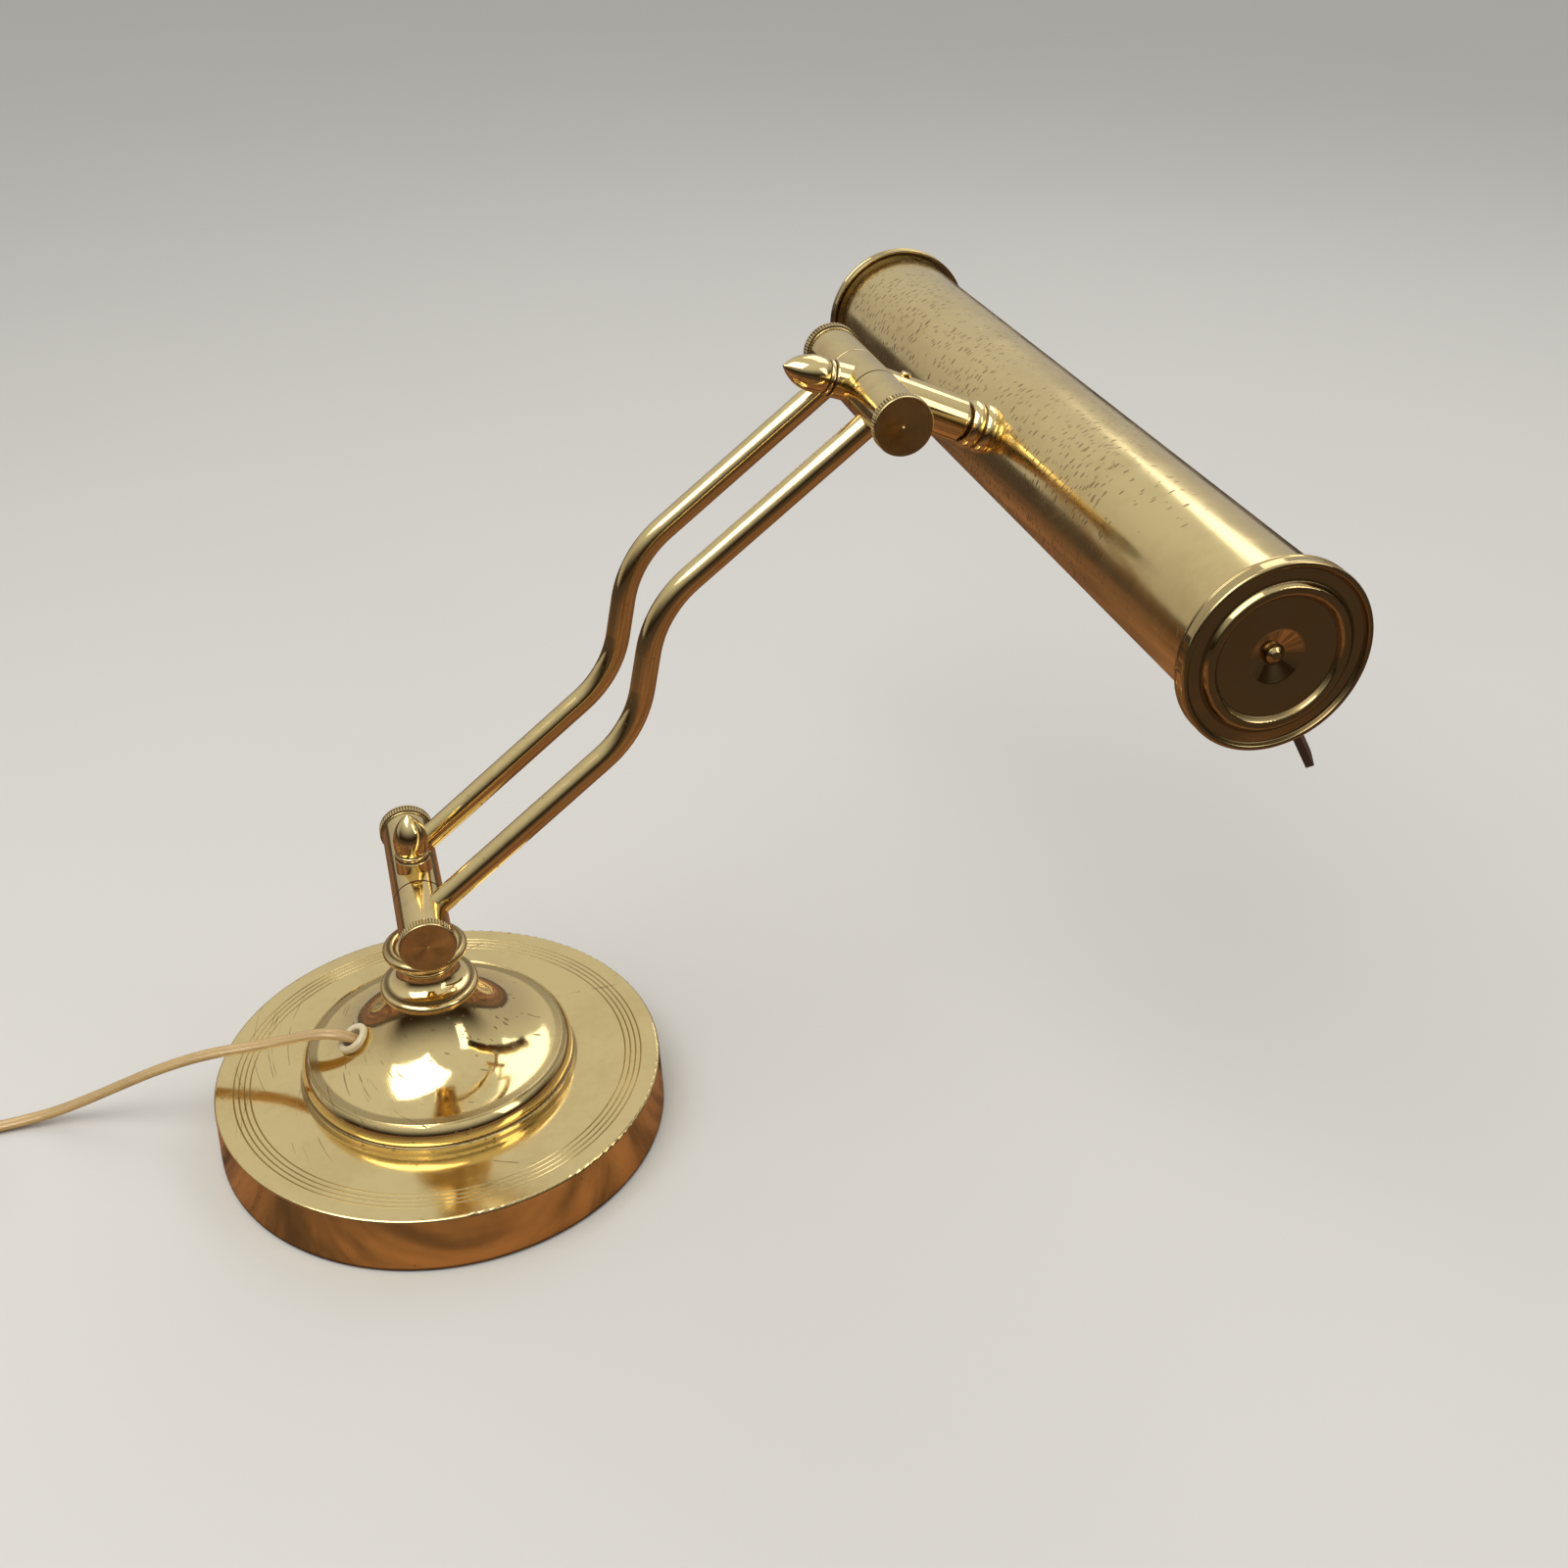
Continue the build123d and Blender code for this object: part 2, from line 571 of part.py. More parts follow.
def make_cord():
    table = CORD_DIAMETER / 2 + 0.05
    lead = [
        (-31.5, 0.0, 44.4),
        (-36.8, 0.2, 48.0),
        (-44.0, 1.8, 49.6),
        (-53.0, 5.8, 47.0),
        (-63.5, 10.6, 42.6),
        (-76.0, 14.2, 39.6),
        (-90.0, 17.0, 37.6),
        (-103.5, 19.8, 34.0),
        (-117.0, 23.2, 28.4),
        (-131.0, 27.6, 20.8),
        (-146.0, 32.4, 12.4),
        (-162.0, 36.2, 5.8),
        (-179.0, 37.2, table + 0.2),
        (-197.0, 36.4, table),
        (-217.0, 36.0, table),
    ]
    tail_top = TIE_THICKNESS + (COIL_LAYERS - 0.5) * CORD_THICKNESS
    tail = [
        (PLUG_CENTRE_X + 0.6, 2.0, tail_top - 0.6),
        (PLUG_CENTRE_X, -9.0, tail_top - 0.8),
        (PLUG_CENTRE_X - 0.6, -20.0, tail_top - 2.2),
        (PLUG_CENTRE_X, -31.0, PLUG_HALF_HEIGHT + 0.3),
        (PLUG_CENTRE_X, -42.0, PLUG_HALF_HEIGHT),
    ]
    total = make_cord_run("power_cord", lead) + make_cord_run("cord_tail", tail)
    inner = COIL_COLUMNS[0] - CORD_DIAMETER / 2
    outer = COIL_COLUMNS[1] + CORD_DIAMETER / 2
    low = TIE_THICKNESS
    high = low + COIL_LAYERS * CORD_THICKNESS
    coil = turned((inner, low, 1.4), (outer, low, 1.4), (outer, high, 1.4), (inner, high, 1.4))
    write("cord_coil", Pos(*COIL_CENTRE, 0) * coil)
    print("coil turns", 7.25, "coiled length", round(7.25 * math.pi * sum(COIL_COLUMNS), 1),
          "free length", round(total, 1))
    make_tie(inner, outer, low, high)


def make_tie(inner, outer, low, high):
    """Flat band round the coil's bundle of turns."""
    width = 9.0
    gap = 0.05
    thick = TIE_THICKNESS - gap
    middle = (inner + outer) / 2
    hole_x = outer - inner + 2 * gap + 0.6
    hole_z = high - low + 2 * gap
    outside = Rectangle(hole_x + 2 * thick, hole_z + 2 * thick)
    outside = fillet(outside.vertices(), 1.9)
    inside = fillet(Rectangle(hole_x, hole_z).vertices(), 1.2)
    band = extrude(Plane.XZ * (outside - inside), width / 2, both=True)
    place = Pos(*COIL_CENTRE, (low + high) / 2) * Rot(0, 0, -120) * Pos(middle, 0, 0)
    write("cord_tie", place * band)


def make_plug():
    """Two-pin plug lying beside the coil, its blades towards -Y."""
    back = -37.0
    front = -64.0
    place = Pos(PLUG_CENTRE_X, 0, PLUG_HALF_HEIGHT)
    outline = Polyline((-4.2, back), (4.2, back), (10.5, back - 11), (11.0, front), (-11.0, front), (-10.5, back - 11),
                       close=True)
    body = extrude(fillet(make_face(outline).vertices(), 1.6), PLUG_HALF_HEIGHT, both=True)
    body = chamfer(body.faces().sort_by(Axis.Z)[-1].edges() + body.faces().sort_by(Axis.Z)[0].edges(), 1.3)
    body -= Pos(0, back, 0) * Rot(90, 0, 0) * Cylinder(CORD_DIAMETER / 2, 10.0)
    blades = Part()
    slots = Part()
    for side in (-1, 1):
        blade = Pos(side * 6.35, front - 6.0, 0) * Box(1.5, 24.0, 6.3)
        blade -= Pos(side * 6.35, front - 14.0, 0) * Rot(0, 90, 0) * Cylinder(1.6, 4)
        slots += Pos(side * 6.35, front - 6.0, 0) * Box(1.5, 24.0, 6.3)
        blades += blade
    write("plug_body", place * (body - slots))
    write("plug_blades", place * blades)


make_base()
dish_top = make_dish()
make_collar(dish_top)
make_turret()

lower_place = Pos(0, 0, KNUCKLE_HEIGHT)
upper_place = Pos(UPPER_KNUCKLE[0], 0, UPPER_KNUCKLE[1])
head = upper_place * Rot(0, STEM_DROP_ANGLE - 90, 0)
lower_slope = math.degrees(math.atan2(ARM_LOWER_BEND[1] - KNUCKLE_HEIGHT, ARM_LOWER_BEND[0]))
upper_slope = math.degrees(
    math.atan2(UPPER_KNUCKLE[1] - ARM_UPPER_BEND[1], UPPER_KNUCKLE[0] - ARM_UPPER_BEND[0])
)
make_knuckle("lower", lower_place, lower_place, lower_slope)
make_knuckle("upper", head, upper_place, upper_slope + 180, UPPER_FINIAL_TURN)
make_arms()
make_stem(head)
make_shade_neck(head)
make_shade(head)
make_cord()
make_plug()
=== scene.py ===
import math

import bmesh
import bpy
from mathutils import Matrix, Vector


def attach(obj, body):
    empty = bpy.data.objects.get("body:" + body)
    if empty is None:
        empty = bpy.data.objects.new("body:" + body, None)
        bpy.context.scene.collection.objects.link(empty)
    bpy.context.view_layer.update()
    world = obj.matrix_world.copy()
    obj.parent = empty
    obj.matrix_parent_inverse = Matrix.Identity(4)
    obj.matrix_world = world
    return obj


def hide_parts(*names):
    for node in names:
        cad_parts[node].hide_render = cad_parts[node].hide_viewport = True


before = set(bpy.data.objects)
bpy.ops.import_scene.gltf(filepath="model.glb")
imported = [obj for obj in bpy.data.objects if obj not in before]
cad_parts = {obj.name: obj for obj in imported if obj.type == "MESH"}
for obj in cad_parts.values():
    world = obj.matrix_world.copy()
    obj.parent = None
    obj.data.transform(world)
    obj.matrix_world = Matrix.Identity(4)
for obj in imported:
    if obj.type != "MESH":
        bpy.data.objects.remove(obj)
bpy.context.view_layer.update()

bl_info = {
    "name": "Swing Arm Desk Lamp",
    "version": (1, 0, 0),
    "blender": (4, 5, 0),
    "location": "View3D > Sidebar > Desk Lamp",
    "description": "Gives a brass swing arm desk lamp its finishes, bulb, cord and studio",
    "category": "Object",
}

MM = 0.001

LOWER_PIVOT = Vector((0.0, 0.0, 0.1175))
UPPER_PIVOT = Vector((0.1831, 0.0, 0.3048))
ARM_OFFSET = 23.2 * MM  # from the lamp's middle to each arm tube
STEM_DROP = math.radians(23.9)  # below level, at rest
STEM_WAY = Vector((math.cos(STEM_DROP), 0.0, -math.sin(STEM_DROP)))
SHADE_CENTRE = UPPER_PIVOT + 80.9 * MM * STEM_WAY
UPPER_FINIAL_TURN = math.radians(5.1)  # between the upper finial and the stem's line
BASE_RINGS = (78.5 * MM, 80.8 * MM, 83.0 * MM, 85.2 * MM)  # radii of the engraved rings
BARREL_SEAMS = (12.0 * MM, 38.5 * MM)  # joints in a knuckle, from its middle
THUMB_NUT_EDGES = (38.9 * MM, 42.2 * MM)  # ends of a nut's knurling, from the knuckle's middle
FINIAL_SEAMS = (14.2 * MM, 16.4 * MM)  # from the knuckle's middle
STRANDS_ROUND_CORD = 26.0

CAMERA_PLACE = (-0.0151, -0.5871, 0.5193)
CAMERA_TURN = (math.radians(58.06), 0.0, math.radians(-15.9))
LAMP_MIDDLE = (0.08, 0.0, 0.15)
FLOOR_HALF_WIDTH = 4.0

# Turns that bring a piece's own axis onto Z: upright, along the knuckles, and along the stem.
UPRIGHT = (0.0, 0.0, 0.0)
CROSSWISE = (math.radians(-90), 0.0, 0.0)
ALONG_STEM = (0.0, STEM_DROP - math.radians(90), 0.0)
ALONG_UPPER_FINIAL = (0.0, STEM_DROP - math.radians(90) - UPPER_FINIAL_TURN, 0.0)


# ------------------------------------------------------------ node building


class Bench:
    """Adds nodes to one tree, sets them and joins them."""

    def __init__(self, tree):
        self.tree = tree
        self.count = 0

    def add(self, kind, sockets=None, **settings):
        """New node; sockets maps input names or numbers to values or to output sockets."""
        node = self.tree.nodes.new(kind)
        node.location = (220 * (self.count % 12), -260 * (self.count // 12))
        self.count += 1
        for name, value in settings.items():
            setattr(node, name, value)
        for name, value in (sockets or {}).items():
            self.join(node.inputs[name], value)
        return node

    def join(self, socket, value):
        """Link an output to a socket, or set the socket's own value."""
        if isinstance(value, bpy.types.NodeSocket):
            self.tree.links.new(value, socket)
        else:
            socket.default_value = value

    def maths(self, operation, *values):
        node = self.add("ShaderNodeMath", operation=operation)
        for socket, value in zip(node.inputs, values):
            self.join(socket, value)
        return node.outputs[0]

    def ramp(self, value, low, high, start=0.0, end=1.0):
        """Smooth step of a value between low and high."""
        sockets = {"Value": value, "From Min": low, "From Max": high, "To Min": start, "To Max": end}
        return self.add("ShaderNodeMapRange", sockets, interpolation_type="SMOOTHSTEP").outputs[0]

    def blend(self, share, first, second):
        """Colour between first and second."""
        node = self.add("ShaderNodeMix", data_type="RGBA")
        self.join(node.inputs[0], share)
        self.join(node.inputs[6], first)
        self.join(node.inputs[7], second)
        return node.outputs[2]

    def split(self, vector):
        return self.add("ShaderNodeSeparateXYZ", {"Vector": vector}).outputs

    def combine(self, x, y, z):
        return self.add("ShaderNodeCombineXYZ", {"X": x, "Y": y, "Z": z}).outputs[0]

    def noise(self, vector, scale, detail=4.0, roughness=0.55):
        sockets = {"Vector": vector, "Scale": scale, "Detail": detail, "Roughness": roughness}
        return self.add("ShaderNodeTexNoise", sockets).outputs["Fac"]

    def use(self, group, **sockets):
        """Place a shader node group, with spaces in its socket names given as underscores."""
        node = self.add("ShaderNodeGroup", node_tree=bpy.data.node_groups[group])
        for name, value in sockets.items():
            self.join(node.inputs[name.replace("_", " ")], value)
        return node.outputs

    def bump(self, height, distance, strength=1.0):
        sockets = {"Height": height, "Distance": distance, "Strength": strength}
        return self.add("ShaderNodeBump", sockets).outputs[0]


def shader_group(name, inputs, outputs):
    """New group; inputs are (name, kind, default) and outputs (name, kind)."""
    tree = bpy.data.node_groups.new(name, "ShaderNodeTree")
    for label, kind, default in inputs:
        socket = tree.interface.new_socket(label, in_out="INPUT", socket_type=f"NodeSocket{kind}")
        if default is not None:
            socket.default_value = default
    for label, kind in outputs:
        tree.interface.new_socket(label, in_out="OUTPUT", socket_type=f"NodeSocket{kind}")
    bench = Bench(tree)
    entry = bench.add("NodeGroupInput").outputs
    way_out = bench.add("NodeGroupOutput").inputs
    return bench, entry, way_out


def unrolled_surface_group():
    """Coordinates laid flat round the Z axis: length round, height and distance from the axis."""
    bench, entry, out = shader_group(
        "Unrolled Surface",
        [("Vector", "Vector", None)],
        [("Vector", "Vector"), ("Height", "Float"), ("Radius", "Float")],
    )
    x, y, z = bench.split(entry["Vector"])
    flat = bench.combine(x, y, 0.0)
    radius = bench.add("ShaderNodeVectorMath", {0: flat}, operation="LENGTH").outputs["Value"]
    angle = bench.maths("ARCTAN2", y, x)
    bench.join(out["Vector"], bench.combine(bench.maths("MULTIPLY", angle, radius), z, radius))
    bench.join(out["Height"], z)
    bench.join(out["Radius"], radius)


def worn_lacquer_group():
    """Clouded lacquer over metal: its colour and roughness."""
    bench, entry, out = shader_group(
        "Worn Lacquer",
        [
            ("Vector", "Vector", None),
            ("Clean", "Color", (0.9, 0.72, 0.36, 1.0)),
            ("Aged", "Color", (0.4, 0.22, 0.06, 1.0)),
            ("Ageing", "Float", 0.3),
            ("Cloud Size", "Float", 0.03),
            ("Polished", "Float", 0.12),
            ("Dull", "Float", 0.25),
        ],
        [("Color", "Color"), ("Roughness", "Float")],
    )
    scale = bench.maths("DIVIDE", 1.0, entry["Cloud Size"])
    cloud = bench.noise(entry["Vector"], scale, 5.0, 0.6)
    fine = bench.noise(entry["Vector"], bench.maths("MULTIPLY", scale, 9.0), 3.0, 0.6)
    mixed = bench.maths("ADD", bench.maths("MULTIPLY", cloud, 0.72), bench.maths("MULTIPLY", fine, 0.28))
    stain = bench.maths("MULTIPLY", bench.ramp(mixed, 0.44, 0.66), entry["Ageing"])
    bench.join(out["Color"], bench.blend(stain, entry["Clean"], entry["Aged"]))
    smear = bench.noise(entry["Vector"], bench.maths("MULTIPLY", scale, 2.3), 4.0, 0.65)
    sockets = {"Value": smear, "From Min": 0.34, "From Max": 0.68}
    rough = bench.add("ShaderNodeMapRange", sockets)
    bench.join(rough.inputs["To Min"], entry["Polished"])
    bench.join(rough.inputs["To Max"], entry["Dull"])
    bench.join(out["Roughness"], rough.outputs[0])


def turning_lines_group():
    """Fine lines left round a piece by the lathe or the polishing wheel."""
    bench, entry, out = shader_group(
        "Turning Lines",
        [("Unrolled", "Vector", None), ("Spacing", "Float", 0.0004)],
        [("Height", "Float")],
    )
    around, height, radius = bench.split(entry["Unrolled"])
    across = bench.maths("DIVIDE", bench.maths("ADD", height, radius), entry["Spacing"])
    along = bench.maths("DIVIDE", around, bench.maths("MULTIPLY", entry["Spacing"], 45.0))
    bench.join(out["Height"], bench.noise(bench.combine(along, across, 0.0), 1.0, 3.0, 0.6))


def age_specks_group():
    """Short dark specks where the lacquer has broken, longer round the piece than along it."""
    bench, entry, out = shader_group(
        "Age Specks",
        [
            ("Unrolled", "Vector", None),
            ("Length", "Float", 0.004),
            ("Width", "Float", 0.002),
            ("Coverage", "Float", 0.5),
            ("Patch Size", "Float", 0.04),
            ("Bare At", "Float", -2.0),
            ("Full At", "Float", -1.0),
        ],
        [("Mask", "Float")],
    )
    around, height = bench.split(entry["Unrolled"])[:2]
    wander = bench.noise(entry["Unrolled"], 90.0, 2.0)
    slant = bench.maths("MULTIPLY", bench.maths("SUBTRACT", wander, 0.5), 0.006)
    u = bench.maths("DIVIDE", bench.maths("ADD", around, slant), entry["Length"])
    v = bench.maths("DIVIDE", bench.maths("ADD", height, slant), entry["Width"])
    cell = bench.add(
        "ShaderNodeTexVoronoi",
        {"Vector": bench.combine(u, v, 0.0), "Scale": 1.0, "Randomness": 1.0},
        voronoi_dimensions="2D",
    )
    chance = bench.split(cell.outputs["Color"])[0]
    patch = bench.noise(entry["Unrolled"], bench.maths("DIVIDE", 1.0, entry["Patch Size"]), 4.0, 0.62)
    cover = bench.maths("MULTIPLY", bench.ramp(patch, 0.36, 0.56), entry["Coverage"])
    cover = bench.maths("MULTIPLY", cover, bench.ramp(height, entry["Bare At"], entry["Full At"], 0.06, 1.0))
    kept = bench.ramp(bench.maths("SUBTRACT", cover, chance), 0.0, 0.05)
    size = bench.maths("MULTIPLY_ADD", bench.split(cell.outputs["Color"])[1], 0.16, 0.13)
    spot = bench.ramp(bench.maths("SUBTRACT", size, cell.outputs["Distance"]), -0.03, 0.06)
    bench.join(out["Mask"], bench.maths("MULTIPLY", kept, spot))


def grime_and_shade_line_group():
    """Dark line where a value, such as a radius or a height, is near a centre: dirt and painted shade in a
    groove, seam or crease.
    """
    bench, entry, out = shader_group(
        "Grime And Shade Line",
        [("Value", "Float", 0.0), ("Centre", "Float", 0.0), ("Half Width", "Float", 0.0005)],
        [("Mask", "Float")],
    )
    gap = bench.maths("ABSOLUTE", bench.maths("SUBTRACT", entry["Value"], entry["Centre"]))
    share = bench.maths("DIVIDE", gap, entry["Half Width"])
    bench.join(out["Mask"], bench.ramp(share, 0.35, 1.0, 1.0, 0.0))


def hairlines_group():
    """Hairline scratches in several directions, as a mask for the roughness."""
    bench, entry, out = shader_group(
        "Hairlines",
        [("Vector", "Vector", None), ("Size", "Float", 0.02), ("Amount", "Float", 0.5)],
        [("Mask", "Float")],
    )
    total = None
    for turn, stretch in ((0.4, 38.0), (1.7, 30.0), (2.7, 44.0)):
        mapped = bench.add(
            "ShaderNodeMapping",
            {"Vector": entry["Vector"], "Rotation": (turn, 0.6 * turn, turn), "Scale": (1.0, stretch, stretch)},
            vector_type="TEXTURE",
        )
        flipped = bench.add("ShaderNodeVectorMath", {0: mapped.outputs[0]}, operation="SCALE")
        bench.join(flipped.inputs["Scale"], bench.maths("DIVIDE", stretch, entry["Size"]))
        line = bench.noise(flipped.outputs[0], 1.0, 1.0, 0.4)
        edge = bench.ramp(bench.maths("ABSOLUTE", bench.maths("SUBTRACT", line, 0.5)), 0.0, 0.012, 1.0, 0.0)
        total = edge if total is None else bench.maths("MAXIMUM", total, edge)
    gate = bench.ramp(bench.noise(entry["Vector"], bench.maths("DIVIDE", 2.0, entry["Size"]), 3.0), 0.45, 0.7)
    bench.join(out["Mask"], bench.maths("MULTIPLY", bench.maths("MULTIPLY", total, gate), entry["Amount"]))


def moulded_skin_group():
    """Slight unevenness of moulded plastic: mottled colour, roughness and height."""
    bench, entry, out = shader_group(
        "Moulded Skin",
        [
            ("Vector", "Vector", None),
            ("Clean", "Color", (0.5, 0.5, 0.5, 1.0)),
            ("Handled", "Color", (0.3, 0.3, 0.3, 1.0)),
            ("Grain Size", "Float", 0.001),
            ("Gloss", "Float", 0.3),
        ],
        [("Color", "Color"), ("Roughness", "Float"), ("Height", "Float")],
    )
    scale = bench.maths("DIVIDE", 1.0, entry["Grain Size"])
    grain = bench.noise(entry["Vector"], scale, 3.0, 0.5)
    mottle = bench.noise(entry["Vector"], bench.maths("MULTIPLY", scale, 0.08), 5.0, 0.65)
    bench.join(out["Color"], bench.blend(bench.ramp(mottle, 0.42, 0.72), entry["Clean"], entry["Handled"]))
    spread = bench.maths("MULTIPLY", bench.maths("SUBTRACT", mottle, 0.5), 0.35)
    bench.join(out["Roughness"], bench.maths("ADD", entry["Gloss"], spread))
    bench.join(out["Height"], grain)


GROUP_MAKERS = (
    unrolled_surface_group,
    worn_lacquer_group,
    turning_lines_group,
    age_specks_group,
    grime_and_shade_line_group,
    hairlines_group,
    moulded_skin_group,
)


# ---------------------------------------------------------------- materials


def new_material(name):
    """Empty node material with its bench, Principled BSDF and output."""
    material = bpy.data.materials.new(name)
    material.use_nodes = True
    material.node_tree.nodes.clear()
    bench = Bench(material.node_tree)
    shader = bench.add("ShaderNodeBsdfPrincipled")
    output = bench.add("ShaderNodeOutputMaterial")
    bench.join(output.inputs["Surface"], shader.outputs[0])
    return material, bench, shader


def place_coordinates(bench, origin, turn):
    """Object coordinates measured from a piece's own origin, with its own axis as Z."""
    coordinates = bench.add("ShaderNodeTexCoord").outputs["Object"]
    mapping = bench.add(
        "ShaderNodeMapping",
        {"Vector": coordinates, "Location": tuple(origin), "Rotation": turn},
        vector_type="TEXTURE",
    )
    return mapping.outputs[0]


def brass(
    name,
    origin=(0.0, 0.0, 0.0),
    turn=UPRIGHT,
    shine=(0.10, 0.20),
    ageing=0.3,
    cloud=0.03,
    lines=0.0005,
    line_depth=0.000012,
    grime_and_shade=(),
    specks=None,
    speck_depth=0.6,
    painted_shade_share=0.0,
    lacquer=0.2,
):
    """Lacquered brass. The list of dark lines gives (radius or height, centre, half width, strength) in metres
    for each line in a groove, seam or crease, partly dirt and partly painted shade; the shade share darkens the
    clean colour as painted shade;
    specks is their length, width, coverage, patch size, and the heights where they stop and are full.
    """
    finish = bpy.context.scene.lamp_brass
    clean = tuple(finish.clean_colour) + (1.0,)
    aged = tuple(finish.aged_colour) + (1.0,)
    dark = tuple(finish.grime_and_shade_colour) + (1.0,)
    material, bench, shader = new_material(name)
    vector = place_coordinates(bench, origin, turn)
    surface = bench.use("Unrolled Surface", Vector=vector)
    lacquer_layer = bench.use(
        "Worn Lacquer",
        Vector=vector,
        # Painted shade: the shade share darkens the clean colour.
        Clean=tuple(c * (1.0 - painted_shade_share) for c in clean[:3]) + (1.0,),
        Aged=aged,
        Ageing=ageing * finish.ageing,
        Cloud_Size=cloud,
        Polished=shine[0],
        Dull=shine[1],
    )
    colour, roughness = lacquer_layer["Color"], lacquer_layer["Roughness"]
    height = bench.use("Turning Lines", Unrolled=surface["Vector"], Spacing=lines)["Height"]
    if specks:
        length, width, coverage, patch, bare, full = specks
        mask = bench.use(
            "Age Specks",
            Unrolled=surface["Vector"],
            Length=length,
            Width=width,
            Coverage=coverage,
            Patch_Size=patch,
            Bare_At=bare,
            Full_At=full,
        )["Mask"]
        colour = bench.blend(bench.maths("MULTIPLY", mask, speck_depth), colour, dark)
        roughness = bench.maths("MULTIPLY_ADD", mask, 0.3, roughness)
        height = bench.maths("SUBTRACT", height, bench.maths("MULTIPLY", mask, 0.8))
    # Each line darkens a groove, seam or crease: partly dirt, partly painted shade.
    for measure, centre, half_width, strength in grime_and_shade:
        mask = bench.use("Grime And Shade Line", Value=surface[measure], Centre=centre, Half_Width=half_width)["Mask"]
        mask = bench.maths("MULTIPLY", mask, strength)
        colour = bench.blend(mask, colour, dark)
        roughness = bench.maths("MULTIPLY_ADD", mask, 0.35, roughness)
    scratches = bench.use("Hairlines", Vector=vector, Size=0.03, Amount=finish.scratches)["Mask"]
    roughness = bench.maths("MULTIPLY_ADD", scratches, 0.18, roughness)
    bench.join(shader.inputs["Base Color"], colour)
    bench.join(shader.inputs["Roughness"], roughness)
    bench.join(shader.inputs["Metallic"], 1.0)
    bench.join(shader.inputs["Coat Weight"], lacquer)
    bench.join(shader.inputs["Coat Roughness"], 0.06)
    bench.join(shader.inputs["Normal"], bench.bump(height, line_depth, 0.5))
    return material


def moulded(name, clean, handled, grain=0.001, gloss=0.35, depth=0.00005, coat=0.0, clear=0.0):
    """Moulded plastic, rubber or fibre."""
    material, bench, shader = new_material(name)
    vector = place_coordinates(bench, (0.0, 0.0, 0.0), UPRIGHT)
    skin = bench.use(
        "Moulded Skin",
        Vector=vector,
        Clean=clean + (1.0,),
        Handled=handled + (1.0,),
        Grain_Size=grain,
        Gloss=gloss,
    )
    bench.join(shader.inputs["Base Color"], skin["Color"])
    bench.join(shader.inputs["Roughness"], skin["Roughness"])
    bench.join(shader.inputs["Normal"], bench.bump(skin["Height"], depth, 0.6))
    bench.join(shader.inputs["Coat Weight"], coat)
    bench.join(shader.inputs["Subsurface Weight"], clear)
    bench.join(shader.inputs["Subsurface Radius"], (0.003, 0.002, 0.001))
    return material


def plain_metal(name, clean, aged, shine=(0.2, 0.4), ageing=0.5, cloud=0.008):
    """Unlacquered metal of a hardware piece."""
    material, bench, shader = new_material(name)
    vector = place_coordinates(bench, (0.0, 0.0, 0.0), UPRIGHT)
    layer = bench.use(
        "Worn Lacquer",
        Vector=vector,
        Clean=clean + (1.0,),
        Aged=aged + (1.0,),
        Ageing=ageing,
        Cloud_Size=cloud,
        Polished=shine[0],
        Dull=shine[1],
    )
    bench.join(shader.inputs["Base Color"], layer["Color"])
    bench.join(shader.inputs["Roughness"], layer["Roughness"])
    bench.join(shader.inputs["Metallic"], 1.0)
    bench.join(shader.inputs["Normal"], bench.bump(bench.noise(vector, 2500.0, 3.0), 0.00003, 0.4))
    return material


def cast_iron():
    """Rough sand casting."""
    material, bench, shader = new_material("weight casting")
    vector = place_coordinates(bench, (0.0, 0.0, 0.0), UPRIGHT)
    grit = bench.noise(vector, 900.0, 6.0, 0.7)
    rust = bench.ramp(bench.noise(vector, 60.0, 5.0, 0.65), 0.5, 0.72)
    bench.join(shader.inputs["Base Color"], bench.blend(rust, (0.05, 0.05, 0.052, 1), (0.12, 0.05, 0.02, 1)))
    bench.join(shader.inputs["Roughness"], bench.ramp(grit, 0.3, 0.7, 0.55, 0.9))
    bench.join(shader.inputs["Metallic"], 0.6)
    bench.join(shader.inputs["Normal"], bench.bump(grit, 0.0006, 0.8))
    return material


def felt():
    """Dense green-black felt with loose fibres."""
    material, bench, shader = new_material("base felt")
    vector = place_coordinates(bench, (0.0, 0.0, 0.0), UPRIGHT)
    fibre = bench.noise(vector, 1600.0, 5.0, 0.7)
    nap = bench.noise(vector, 120.0, 4.0, 0.6)
    light = bench.blend(bench.ramp(fibre, 0.35, 0.7), (0.018, 0.028, 0.018, 1), (0.05, 0.07, 0.045, 1))
    worn = bench.ramp(nap, 0.4, 0.8, 0.0, 0.5)
    bench.join(shader.inputs["Base Color"], bench.blend(worn, light, (0.02, 0.02, 0.015, 1)))
    bench.join(shader.inputs["Roughness"], bench.ramp(fibre, 0.2, 0.8, 0.85, 1.0))
    bench.join(shader.inputs["Sheen Weight"], 0.4)
    bench.join(shader.inputs["Normal"], bench.bump(fibre, 0.0005, 0.7))
    return material


def bulb_glass():
    """Clear thin glass with a trace of dust."""
    material, bench, shader = new_material("bulb glass")
    vector = place_coordinates(bench, (0.0, 0.0, 0.0), UPRIGHT)
    dust = bench.ramp(bench.noise(vector, 160.0, 5.0, 0.7), 0.5, 0.8)
    bench.join(shader.inputs["Base Color"], bench.blend(dust, (0.97, 0.98, 0.97, 1), (0.86, 0.84, 0.78, 1)))
    bench.join(shader.inputs["Roughness"], bench.maths("MULTIPLY_ADD", dust, 0.12, 0.02))
    bench.join(shader.inputs["Transmission Weight"], 1.0)
    bench.join(shader.inputs["IOR"], 1.47)
    return material


